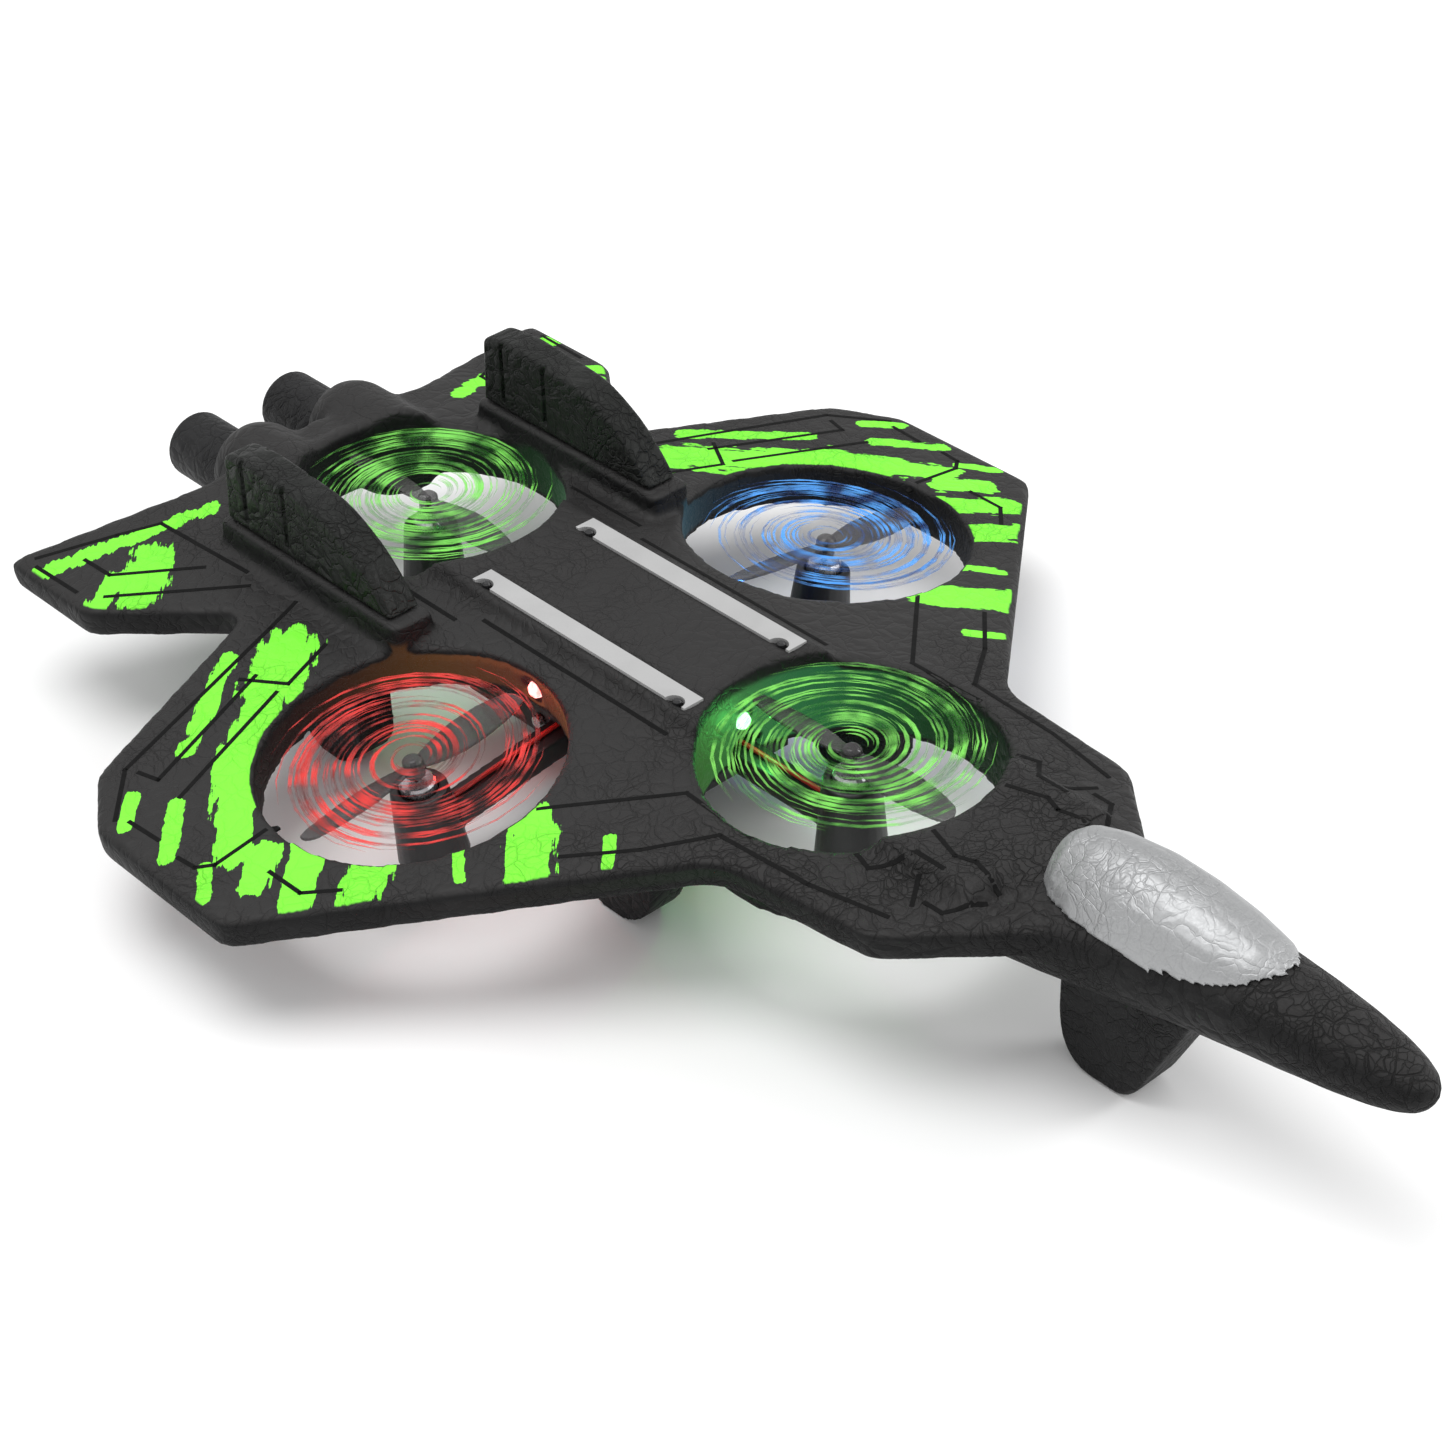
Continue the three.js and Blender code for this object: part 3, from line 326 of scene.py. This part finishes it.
deep = calc(crinkle, "MULTIPLY", deep, calc(crinkle, "MULTIPLY_ADD", crease_depth_patches, 0.75, 0.25))
shallow = ramp(crinkle, small.outputs["Distance"], 0.0, 0.09, 0.45, 0.0)
shallow = calc(crinkle, "MULTIPLY", shallow, crease_depth_patches)
crease = calc(crinkle, "MAXIMUM", deep, shallow)
pillow = calc(crinkle, "MULTIPLY", ramp(crinkle, large.outputs["Distance"], 0.0, 0.4), 0.55)
height = calc(crinkle, "SUBTRACT", pillow, crease)
height = calc(crinkle, "MULTIPLY_ADD", grain.outputs["Fac"], 0.16, height)
crinkle.links.new(height, leave.inputs["Height"])
crinkle.links.new(crease, leave.inputs["Crease"])
crinkle.links.new(patch.outputs["Fac"], leave.inputs["Mottle"])

# Lime spray: patches pulled outboard and forward, torn along that direction.
# Each patch is a line from one end to the other with a half width, in mm.
LIME_PATCHES = [
    ((59, 89), (71, 80), 7.2),
    ((71, 80), (89, 68), 5.2),
    ((89, 68), (102, 52), 5.6),
    ((102, 52), (110, 42), 4.2),
    ((71, 97), (96, 78), 2.4),
    ((108, 65.5), (120, 53), 2.2),
    ((113, 75), (120, 68.5), 1.9),
    ((105, 38), (112, 32), 4.0),
    ((96, 33), (110, 19.5), 4.2),
    ((89, 18), (101, 10.5), 4.6),
    ((77, 5.5), (83, -2), 1.6),
    ((61, 0), (73, -12.5), 5.4),
    ((54.5, -17.5), (60, -23.5), 1.4),
    ((39, 147.5), (61, 154.5), 2.6),
    ((61, 154.5), (81, 160), 2.8),
    ((59, 143), (71, 133), 5.4),
    ((70, 143), (79, 138.5), 3.2),
    ((116, 44), (122, 36), 1.6),
]
STREAK_ALONG = (0.68, -0.73)

lime_group = bpy.data.node_groups.new("lime_spray", "ShaderNodeTree")
lime_group.interface.new_socket("Vector", in_out="INPUT", socket_type="NodeSocketVector")
lime_group.interface.new_socket("Mask", in_out="OUTPUT", socket_type="NodeSocketFloat")
entry = lime_group.nodes.new("NodeGroupInput")
leave = lime_group.nodes.new("NodeGroupOutput")
parts = add_node(lime_group, "ShaderNodeSeparateXYZ", {0: entry.outputs[0]})
outboard = calc(lime_group, "ABSOLUTE", parts.outputs[0])
aft = parts.outputs[1]
spot = add_node(lime_group, "ShaderNodeCombineXYZ", {0: outboard, 1: aft, 2: 0.0}).outputs[0]
along = calc(lime_group, "ADD", calc(lime_group, "MULTIPLY", outboard, STREAK_ALONG[0]),
             calc(lime_group, "MULTIPLY", aft, STREAK_ALONG[1]))
across = calc(lime_group, "SUBTRACT", calc(lime_group, "MULTIPLY", outboard, -STREAK_ALONG[1]),
              calc(lime_group, "MULTIPLY", aft, -STREAK_ALONG[0]))
sided = calc(lime_group, "MULTIPLY", ramp(lime_group, parts.outputs[0], -0.001, 0.001), 0.31)
streaked = add_node(lime_group, "ShaderNodeCombineXYZ", {
    0: calc(lime_group, "MULTIPLY", along, 0.11), 1: across, 2: sided}).outputs[0]
pull = add_node(lime_group, "ShaderNodeTexNoise", {
    "Vector": streaked, "Scale": 420.0, "Detail": 4.0, "Roughness": 0.65}).outputs["Fac"]
blot = add_node(lime_group, "ShaderNodeTexNoise", {
    "Vector": spot, "Scale": 210.0, "Detail": 3.0, "Roughness": 0.6}).outputs["Fac"]
field = None
for (x0, y0), (x1, y1), half in LIME_PATCHES:
    run = Vector((x1 - x0, y1 - y0, 0)) * MM
    offset = add_node(lime_group, "ShaderNodeVectorMath", {
        0: spot, 1: (x0 * MM, y0 * MM, 0)}, operation="SUBTRACT").outputs[0]
    share = add_node(lime_group, "ShaderNodeVectorMath", {
        0: offset, 1: tuple(run / run.length_squared)}, operation="DOT_PRODUCT").outputs["Value"]
    share = calc(lime_group, "MINIMUM", calc(lime_group, "MAXIMUM", share, 0.0), 1.0)
    nearest = add_node(lime_group, "ShaderNodeVectorMath", {0: tuple(run)}, operation="SCALE")
    lime_group.links.new(share, nearest.inputs["Scale"])
    gap = add_node(lime_group, "ShaderNodeVectorMath", {
        0: offset, 1: nearest.outputs[0]}, operation="DISTANCE").outputs["Value"]
    level = calc(lime_group, "SUBTRACT", 1.0, calc(lime_group, "DIVIDE", gap, half * MM))
    field = level if field is None else calc(lime_group, "MAXIMUM", field, level)
field = calc(lime_group, "MAXIMUM", field, -2.0)
torn = calc(lime_group, "MULTIPLY_ADD", calc(lime_group, "SUBTRACT", pull, 0.5), 2.0, field)
torn = calc(lime_group, "MULTIPLY_ADD", calc(lime_group, "SUBTRACT", blot, 0.5), 1.0, torn)
mask = ramp(lime_group, torn, 0.02, 0.10)
lime_group.links.new(mask, leave.inputs[0])

# Painted light: the glow that the lamps throw on the duct walls, put into the foam as emission.
LAMPS = {
    "front": ((0.0, -0.0015, 0.0312), (0.10, 1.0, 0.16)),
    "rear": ((0.0, 0.0780, 0.0332), (0.10, 1.0, 0.16)),
    "left": ((0.0300, 0.0380, 0.0345), (0.10, 0.35, 1.0)),
    "right": ((-0.0300, 0.0380, 0.0345), (1.0, 0.04, 0.03)),
}
GLOW_REACH = {"front": 0.034, "rear": 0.032, "left": 0.032, "right": 0.032}

foam_top, tree, shader = new_material("sprayed_foam")
place = tree.nodes.new("ShaderNodeTexCoord").outputs["Object"]
facing = tree.nodes.new("ShaderNodeTexCoord").outputs["Normal"]
facing_up = add_node(tree, "ShaderNodeSeparateXYZ", {0: facing}).outputs[2]
# Painted shade: faces turned away from the sky are painted near black, upward faces charcoal, for light
# falling from above.
lit_top_mask = ramp(tree, facing_up, 0.35, 0.8)
skin = tree.nodes.new("ShaderNodeGroup")
skin.node_tree = crinkle
tree.links.new(place, skin.inputs["Vector"])
skin.inputs["Cells per Metre"].default_value = 225
lime = tree.nodes.new("ShaderNodeGroup")
lime.node_tree = lime_group
tree.links.new(place, lime.inputs[0])
distance_aft = add_node(tree, "ShaderNodeSeparateXYZ", {0: place}).outputs[1]
forward = ramp(tree, distance_aft, -0.085, 0.01, 1.0, 0.35)
# Painted shade: the creases are darkened towards black, most strongly towards the nose.
painted_crease_shade = calc(tree, "MULTIPLY", skin.outputs["Crease"], forward)
charcoal = mix_colour(tree, skin.outputs["Mottle"], (0.0135, 0.0130, 0.0130, 1),
                      (0.0265, 0.0255, 0.0255, 1))
# Painted shade: near-black sides mixed against the charcoal top by how far each face turns up.
body = mix_colour(tree, lit_top_mask, (0.0032, 0.0032, 0.0034, 1), charcoal)
lime_mask = calc(tree, "MULTIPLY", lime.outputs[0], ramp(tree, facing_up, 0.85, 0.95))
painted = mix_colour(tree, lime_mask, body, (0.205, 0.90, 0.045, 1))
creased = mix_colour(tree, calc(tree, "MULTIPLY", painted_crease_shade, 0.6), painted, (0.002, 0.002, 0.002, 1))
tree.links.new(creased, shader.inputs["Base Color"])
tree.links.new(ramp(tree, skin.outputs["Mottle"], 0.2, 0.8, 0.52, 0.68), shader.inputs["Roughness"])
shader.inputs["Specular IOR Level"].default_value = 0.24
bump = add_node(tree, "ShaderNodeBump", {
    "Height": calc(tree, "MULTIPLY", skin.outputs["Height"], forward),
    "Distance": 0.0009, "Strength": 0.95})
tree.links.new(bump.outputs[0], shader.inputs["Normal"])
# Painted light: lamp glow on the lower duct walls as emission, fading with distance from each lamp.
glow = None
for duct, (spot_at, tint) in LAMPS.items():
    away = add_node(tree, "ShaderNodeVectorMath", {0: place, 1: spot_at}, operation="DISTANCE")
    near = calc(tree, "DIVIDE", away.outputs["Value"], GLOW_REACH[duct])
    fall = calc(tree, "POWER", 2.718, calc(tree, "MULTIPLY", calc(tree, "MULTIPLY", near, near), -1.0))
    tinted = mix_colour(tree, fall, (0, 0, 0, 1), (*tint, 1))
    glow = tinted if glow is None else mix_colour(tree, 1.0, glow, tinted, "ADD")
wall = ramp(tree, calc(tree, "ABSOLUTE", facing_up), 0.05, 0.22, 1.0, 0.0)
height = add_node(tree, "ShaderNodeSeparateXYZ", {0: place}).outputs[2]
wall = calc(tree, "MULTIPLY", wall, ramp(tree, height, 0.0395, 0.0415, 1.0, 0.0))
tree.links.new(mix_colour(tree, wall, (0, 0, 0, 1), glow), shader.inputs["Emission Color"])
shader.inputs["Emission Strength"].default_value = 0.14

groove_black, tree, shader = new_material("panel_line_black")
place = tree.nodes.new("ShaderNodeTexCoord").outputs["Object"]
dust = add_node(tree, "ShaderNodeTexNoise", {"Vector": place, "Scale": 700.0, "Detail": 3.0}).outputs["Fac"]
tree.links.new(mix_colour(tree, dust, (0.001, 0.001, 0.001, 1), (0.006, 0.006, 0.006, 1)),
               shader.inputs["Base Color"])
tree.links.new(ramp(tree, dust, 0.3, 0.7, 0.7, 0.85), shader.inputs["Roughness"])
shader.inputs["Specular IOR Level"].default_value = 0.15

both_sides = [[(side * x, y) for x, y in line] for line in WING_LINES for side in (1, -1)]
airframe.data.materials.append(foam_top)
panel_lines = draped_lines("panel_lines", both_sides, airframe, LINE_WIDTH, LINE_RISE, LINE_SINK)
panel_lines.data.materials.append(groove_black)
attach(panel_lines, "airframe")
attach(airframe, "airframe")
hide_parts("airframe_foam")

# ---- Canopy ----------------------------------------------------------------
# A teardrop of the same foam glued onto the nose and sprayed silver. Its creases
# are painted darker than the crowns between them, as painted shade.
CANOPY_VOXEL = 0.55 * MM
silver, tree, shader = new_material("silver_spray")
place = tree.nodes.new("ShaderNodeTexCoord").outputs["Object"]
skin = tree.nodes.new("ShaderNodeGroup")
skin.node_tree = crinkle
tree.links.new(place, skin.inputs["Vector"])
skin.inputs["Cells per Metre"].default_value = 240
fleck = add_node(tree, "ShaderNodeTexNoise", {
    "Vector": place, "Scale": 2600.0, "Detail": 1.0}).outputs["Fac"]
metal = mix_colour(tree, fleck, (0.30, 0.305, 0.31, 1), (0.44, 0.445, 0.45, 1))
# Painted shade: the creases are mixed towards a darker grey.
tree.links.new(mix_colour(tree, calc(tree, "MULTIPLY", skin.outputs["Crease"], 0.28), metal,
                          (0.13, 0.13, 0.135, 1)), shader.inputs["Base Color"])
tree.links.new(ramp(tree, fleck, 0.3, 0.7, 0.42, 0.54), shader.inputs["Roughness"])
shader.inputs["Metallic"].default_value = 0.75
tree.links.new(add_node(tree, "ShaderNodeBump", {
    "Height": skin.outputs["Height"], "Distance": 0.00032, "Strength": 0.5}).outputs[0],
    shader.inputs["Normal"])
canopy = soften(merged_copy("canopy", "canopy_shell"), CANOPY_VOXEL, 4)
canopy.data.materials.append(silver)
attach(canopy, "airframe")
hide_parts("canopy")

# ---- Fins, nozzles, skid and feet ------------------------------------------
# Separate foam mouldings in the bare dark foam, glued to the airframe. They
# keep the crinkled skin, with painted shade darkening its creases, and have soft edges.
FIN_VOXEL = 0.5 * MM


def bare_foam(name, colour, cells, gloss, bump_depth):
    made, tree, shader = new_material(name)
    place = tree.nodes.new("ShaderNodeTexCoord").outputs["Object"]
    skin = tree.nodes.new("ShaderNodeGroup")
    skin.node_tree = crinkle
    tree.links.new(place, skin.inputs["Vector"])
    skin.inputs["Cells per Metre"].default_value = cells
    lighter = tuple(1.9 * c for c in colour)
    tone = mix_colour(tree, skin.outputs["Mottle"], (*colour, 1), (*lighter, 1))
    # Painted shade: the creases are mixed towards black.
    tree.links.new(mix_colour(tree, calc(tree, "MULTIPLY", skin.outputs["Crease"], 0.8), tone,
                              (0.0015, 0.0015, 0.0015, 1)), shader.inputs["Base Color"])
    tree.links.new(ramp(tree, skin.outputs["Mottle"], 0.2, 0.8, gloss, gloss + 0.15),
                   shader.inputs["Roughness"])
    shader.inputs["Specular IOR Level"].default_value = 0.24
    tree.links.new(add_node(tree, "ShaderNodeBump", {
        "Height": skin.outputs["Height"], "Distance": 1.6 * bump_depth, "Strength": 0.9}).outputs[0],
        shader.inputs["Normal"])
    return made


fin_foam = bare_foam("fin_foam", (0.0045, 0.0052, 0.0045), 210, 0.45, 0.0005)
nozzle_foam = bare_foam("nozzle_foam", (0.0065, 0.0065, 0.007), 230, 0.5, 0.0003)
skid_foam = bare_foam("skid_foam", (0.004, 0.004, 0.0043), 210, 0.5, 0.0004)
for node, finish, slot_name in (
        ("fin_left", fin_foam, "fin_foam"), ("fin_right", fin_foam, "fin_foam"),
        ("nozzle_left", nozzle_foam, "nozzle_foam"), ("nozzle_right", nozzle_foam, "nozzle_foam"),
        ("nose_skid", skid_foam, "skid_foam"), ("foot_front_left", skid_foam, "skid_foam"),
        ("foot_front_right", skid_foam, "skid_foam"), ("foot_rear_left", skid_foam, "skid_foam"),
        ("foot_rear_right", skid_foam, "skid_foam")):
    piece = soften(merged_copy(node, node + "_foam"), FIN_VOXEL, 2)
    piece.data.materials.append(finish)
    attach(piece, "airframe")
    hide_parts(node)

# ---- Deck strips and clips -------------------------------------------------
# Two light grey moulded strips let into the deck, each with two half-round
# notches that clear the black clip posts.


def moulded(name, colour, lighter, gloss, grain_scale, bump_depth):
    """Injection-moulded plastic: fine spark grain and faint flow marks."""
    made, tree, shader = new_material(name)
    place = tree.nodes.new("ShaderNodeTexCoord").outputs["Object"]
    grain = add_node(tree, "ShaderNodeTexNoise", {
        "Vector": place, "Scale": grain_scale, "Detail": 3.0}).outputs["Fac"]
    flow = add_node(tree, "ShaderNodeTexNoise", {
        "Vector": place, "Scale": 60.0, "Detail": 2.0, "Distortion": 1.2}).outputs["Fac"]
    tree.links.new(mix_colour(tree, flow, (*colour, 1), (*lighter, 1)), shader.inputs["Base Color"])
    tree.links.new(ramp(tree, grain, 0.3, 0.7, gloss, gloss + 0.14), shader.inputs["Roughness"])
    tree.links.new(add_node(tree, "ShaderNodeBump", {
        "Height": grain, "Distance": bump_depth, "Strength": 0.5}).outputs[0], shader.inputs["Normal"])
    return made


def dress(node, finish):
    """Gives a CAD node that stays its finished material."""
    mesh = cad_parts[node].data
    mesh.materials.clear()
    mesh.materials.append(finish)


strip_grey = moulded("strip_grey", (0.33, 0.33, 0.33), (0.43, 0.43, 0.43), 0.4, 2200.0, 0.00005)
chassis_black = moulded("chassis_black", (0.008, 0.008, 0.009), (0.017, 0.017, 0.018),
                        0.35, 2600.0, 0.00006)
for side in ("left", "right"):
    dress("stiffener_strip_" + side, strip_grey)
    for end in ("front", "rear"):
        dress(f"clip_post_{side}_{end}", chassis_black)

# ---- Motors, holders and leads ---------------------------------------------
# Small coreless motors stand in black cups at the ends of moulded arms. Each
# arm ends in a flange that one pan-head screw holds to the tray.
HOLDER_VOXEL = 0.45 * MM
motor_can = moulded("motor_can", (0.42, 0.42, 0.44), (0.55, 0.55, 0.57), 0.22, 1500.0, 0.00002)
bright_steel = moulded("bright_steel", (0.5, 0.5, 0.51), (0.62, 0.62, 0.63), 0.2, 2500.0, 0.00002)
for metal_finish in (motor_can, bright_steel):
    for node in metal_finish.node_tree.nodes:
        if node.type == "BSDF_PRINCIPLED":
            node.inputs["Metallic"].default_value = 0.95
wire_red = moulded("wire_red", (0.30, 0.012, 0.010), (0.38, 0.02, 0.016), 0.4, 1800.0, 0.00003)
DUCTS = ("front", "rear", "left", "right")
for duct in DUCTS:
    holder = soften(merged_copy("motor_holder_" + duct, f"motor_holder_{duct}_moulding"), HOLDER_VOXEL, 2)
    holder.data.materials.append(chassis_black)
    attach(holder, "airframe")
    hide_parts("motor_holder_" + duct)
    dress("motor_" + duct, motor_can)
    dress("motor_shaft_" + duct, bright_steel)
    dress("arm_screw_" + duct, bright_steel)
    dress("motor_lead_" + duct, wire_red)

# ---- Duct lamps ------------------------------------------------------------
# A clear lens in each duct wall nearest the body. The front and rear ones
# shine green, the left wing blue and the right wing red.


def lamp_finish(name, tint, strength):
    made, tree, shader = new_material(name)
    place = tree.nodes.new("ShaderNodeTexCoord").outputs["Object"]
    cloud = add_node(tree, "ShaderNodeTexNoise", {"Vector": place, "Scale": 900.0}).outputs["Fac"]
    pale = tuple(0.5 + 0.5 * c for c in tint)
    colour = mix_colour(tree, cloud, (*tint, 1), (*pale, 1))
    tree.links.new(colour, shader.inputs["Base Color"])
    tree.links.new(colour, shader.inputs["Emission Color"])
    tree.links.new(ramp(tree, cloud, 0.3, 0.7, 0.08, 0.2), shader.inputs["Roughness"])
    shader.inputs["Emission Strength"].default_value = strength
    return made


LENS_STRENGTH = 3.0
BULB_POWER = 0.007
BULB_CLEARANCE = 5 * MM
LENS_TINTS = {
    "front": (0.10, 1.0, 0.18),
    "rear": (0.10, 1.0, 0.18),
    "left": (0.08, 0.35, 1.0),
    "right": (1.0, 0.05, 0.03),
}
for duct in DUCTS:
    dress("led_lens_" + duct, lamp_finish("lamp_" + duct, LENS_TINTS[duct], LENS_STRENGTH))
    spot_at, tint = LAMPS[duct]
    data = bpy.data.lights.new("lamp_glow_" + duct, "POINT")
    data.energy = BULB_POWER
    data.shadow_soft_size = 0.002
    data.color = tint
    bulb = bpy.data.objects.new("lamp_glow_" + duct, data)
    bpy.context.scene.collection.objects.link(bulb)
    low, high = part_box("propeller_" + duct)
    middle = (Vector(low) + Vector(high)) / 2
    lens = Vector(spot_at)
    inward = Vector((middle.x, middle.y, lens.z)) - lens
    bulb.location = lens + inward.normalized() * BULB_CLEARANCE

# ---- Propellers ------------------------------------------------------------
# Two-blade smoked plastic propellers pressed on the motor shafts. The blades
# twist towards the tips and are thin enough to see light through.
smoke, tree, shader = new_material("smoked_plastic")
place = tree.nodes.new("ShaderNodeTexCoord").outputs["Object"]
haze = add_node(tree, "ShaderNodeTexNoise", {"Vector": place, "Scale": 220.0, "Detail": 2.0}).outputs["Fac"]
tree.links.new(mix_colour(tree, haze, (0.035, 0.033, 0.035, 1), (0.065, 0.06, 0.062, 1)),
               shader.inputs["Base Color"])
tree.links.new(ramp(tree, haze, 0.3, 0.7, 0.16, 0.26), shader.inputs["Roughness"])
tree.links.new(ramp(tree, haze, 0.3, 0.7, 0.62, 0.74), shader.inputs["Alpha"])
PROPELLER_VOXEL = 0.3 * MM
for duct in DUCTS:
    propeller = soften(merged_copy("propeller_" + duct, f"propeller_{duct}_moulding"), PROPELLER_VOXEL, 2)
    propeller.data.materials.append(smoke)
    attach(propeller, "prop_" + duct)
    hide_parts("propeller_" + duct)

# ---- Light trails ----------------------------------------------------------
# The turning blades catch the duct lamps and draw fine spiral trails. These are
# painted light: thin glowing arcs that turn with each propeller.
TRAIL_COUNT = 110
TRAIL_WIDTH = 0.62 * MM
TRAIL_THICKNESS = 0.12 * MM
TRAIL_REACH = 32.5 * MM
TRAIL_LIFT = 2.8 * MM

trails = bpy.data.node_groups.new("light_trails", "GeometryNodeTree")
trails.interface.new_socket("Geometry", in_out="OUTPUT", socket_type="NodeSocketGeometry")
for name, kind in (("Count", "NodeSocketInt"), ("Reach", "NodeSocketFloat"), ("Seed", "NodeSocketInt"),
                   ("Finish", "NodeSocketMaterial")):
    trails.interface.new_socket(name, in_out="INPUT", socket_type=kind)
entry = trails.nodes.new("NodeGroupInput")
leave = trails.nodes.new("NodeGroupOutput")
spiral = add_node(trails, "GeometryNodeCurveSpiral", {
    "Resolution": 26, "Rotations": 0.34, "Start Radius": 1.0, "End Radius": 0.80, "Height": 0.0})
points = add_node(trails, "GeometryNodePoints", {"Count": entry.outputs["Count"]})
turn = add_node(trails, "FunctionNodeRandomValue", {
    "Seed": entry.outputs["Seed"]}, data_type="FLOAT_VECTOR")
turn.inputs[0].default_value = (0, 0, 0)
turn.inputs[1].default_value = (0, 0, 2 * math.pi)
size_seed = add_node(trails, "ShaderNodeMath", {0: entry.outputs["Seed"], 1: 17.0}, operation="ADD")
share = add_node(trails, "FunctionNodeRandomValue", {"Seed": size_seed.outputs[0]}, data_type="FLOAT")
share.inputs[2].default_value = 0.06
share.inputs[3].default_value = 1.0
spread = add_node(trails, "ShaderNodeMath", {0: share.outputs[1], 1: 0.72}, operation="POWER")
reach = add_node(trails, "ShaderNodeMath", {
    0: spread.outputs[0], 1: entry.outputs["Reach"]}, operation="MULTIPLY")
instances = add_node(trails, "GeometryNodeInstanceOnPoints", {
    "Points": points.outputs[0], "Instance": spiral.outputs[0], "Rotation": turn.outputs[0],
    "Scale": reach.outputs[0]})
real = add_node(trails, "GeometryNodeRealizeInstances", {0: instances.outputs[0]})
factor = add_node(trails, "GeometryNodeSplineParameter")
taper = add_node(trails, "ShaderNodeMath", {0: factor.outputs["Factor"], 1: math.pi}, operation="MULTIPLY")
taper = add_node(trails, "ShaderNodeMath", {0: taper.outputs[0]}, operation="SINE")
taper = add_node(trails, "ShaderNodeMath", {0: taper.outputs[0], 1: 0.05}, operation="MAXIMUM")
thinned = add_node(trails, "GeometryNodeSetCurveRadius", {0: real.outputs[0]})
trails.links.new(taper.outputs[0], thinned.inputs["Radius"])
section = add_node(trails, "GeometryNodeCurvePrimitiveQuadrilateral", {
    "Width": TRAIL_WIDTH, "Height": TRAIL_THICKNESS})
swept = add_node(trails, "GeometryNodeCurveToMesh", {
    0: thinned.outputs[0], "Profile Curve": section.outputs[0], "Fill Caps": True})
trails.links.new(taper.outputs[0], swept.inputs["Scale"])
joined = add_node(trails, "GeometryNodeRealizeInstances", {0: swept.outputs[0]})
finished = add_node(trails, "GeometryNodeSetMaterial", {
    "Geometry": joined.outputs[0], "Material": entry.outputs["Finish"]})
trails.links.new(finished.outputs[0], leave.inputs[0])


def trail_finish(name, tint, pale, strength):
    made, tree, shader = new_material(name)
    place = tree.nodes.new("ShaderNodeTexCoord").outputs["Object"]
    flicker = add_node(tree, "ShaderNodeTexNoise", {
        "Vector": place, "Scale": 120.0, "Detail": 2.0}).outputs["Fac"]
    colour = mix_colour(tree, ramp(tree, flicker, 0.35, 0.65), (*tint, 1), (*pale, 1))
    tree.links.new(colour, shader.inputs["Base Color"])
    tree.links.new(colour, shader.inputs["Emission Color"])
    # Painted light: the trails glow by emission, though they are no lamps.
    shader.inputs["Emission Strength"].default_value = strength
    tree.links.new(ramp(tree, flicker, 0.3, 0.7, 0.10, 0.46), shader.inputs["Alpha"])
    tree.links.new(ramp(tree, flicker, 0.3, 0.7, 0.4, 0.6), shader.inputs["Roughness"])
    return made


TRAIL_LOOKS = {
    "front": ((0.02, 0.16, 0.01), (0.20, 0.62, 0.10), 0.5),
    "rear": ((0.02, 0.16, 0.01), (0.20, 0.62, 0.10), 0.5),
    "left": ((0.004, 0.03, 0.16), (0.07, 0.30, 0.70), 0.55),
    "right": ((0.10, 0.004, 0.004), (0.62, 0.04, 0.035), 0.55),
}
WING_TILT = math.radians(7.4)
for seed, duct in enumerate(DUCTS):
    host_mesh = bpy.data.meshes.new("trail_host")
    host = bpy.data.objects.new("trail_host", host_mesh)
    bpy.context.scene.collection.objects.link(host)
    maker = host.modifiers.new("trails", "NODES")
    maker.node_group = trails
    look = trail_finish("trail_" + duct, *TRAIL_LOOKS[duct])
    wanted = {"Count": TRAIL_COUNT, "Reach": TRAIL_REACH, "Seed": seed, "Finish": look}
    for item in trails.interface.items_tree:
        if item.item_type == "SOCKET" and item.in_out == "INPUT":
            maker[item.identifier] = wanted[item.name]
    bpy.context.view_layer.update()
    mesh = bpy.data.meshes.new_from_object(host.evaluated_get(bpy.context.evaluated_depsgraph_get()))
    bpy.data.objects.remove(host)
    low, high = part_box("propeller_" + duct)
    middle = (Vector(low) + Vector(high)) / 2
    tilt = {"left": WING_TILT, "right": -WING_TILT}.get(duct, 0.0)
    lift = Matrix.Translation((0, 0, TRAIL_LIFT))
    mesh.transform(Matrix.Translation(middle) @ Matrix.Rotation(tilt, 4, "Y") @ lift)
    trail = bpy.data.objects.new("light_trail_" + duct, mesh)
    bpy.context.scene.collection.objects.link(trail)
    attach(trail, "prop_" + duct)

# ---- Tray, electronics and switch ------------------------------------------
# A black moulded tray under the deck holds the battery over a sliding door,
# with the control board on ledges above and a slide switch in the side.
board_green = moulded("board_green", (0.012, 0.09, 0.035), (0.02, 0.14, 0.055), 0.28, 900.0, 0.00004)
battery_wrap = moulded("battery_wrap", (0.16, 0.19, 0.25), (0.24, 0.28, 0.35), 0.25, 400.0, 0.00012)
slider_grey = moulded("slider_grey", (0.36, 0.36, 0.36), (0.45, 0.45, 0.45), 0.4, 2200.0, 0.00005)
dress("chassis_tray", chassis_black)
dress("battery_door", chassis_black)
dress("power_switch_body", chassis_black)
dress("circuit_board", board_green)
dress("battery", battery_wrap)
dress("switch_slider", slider_grey)
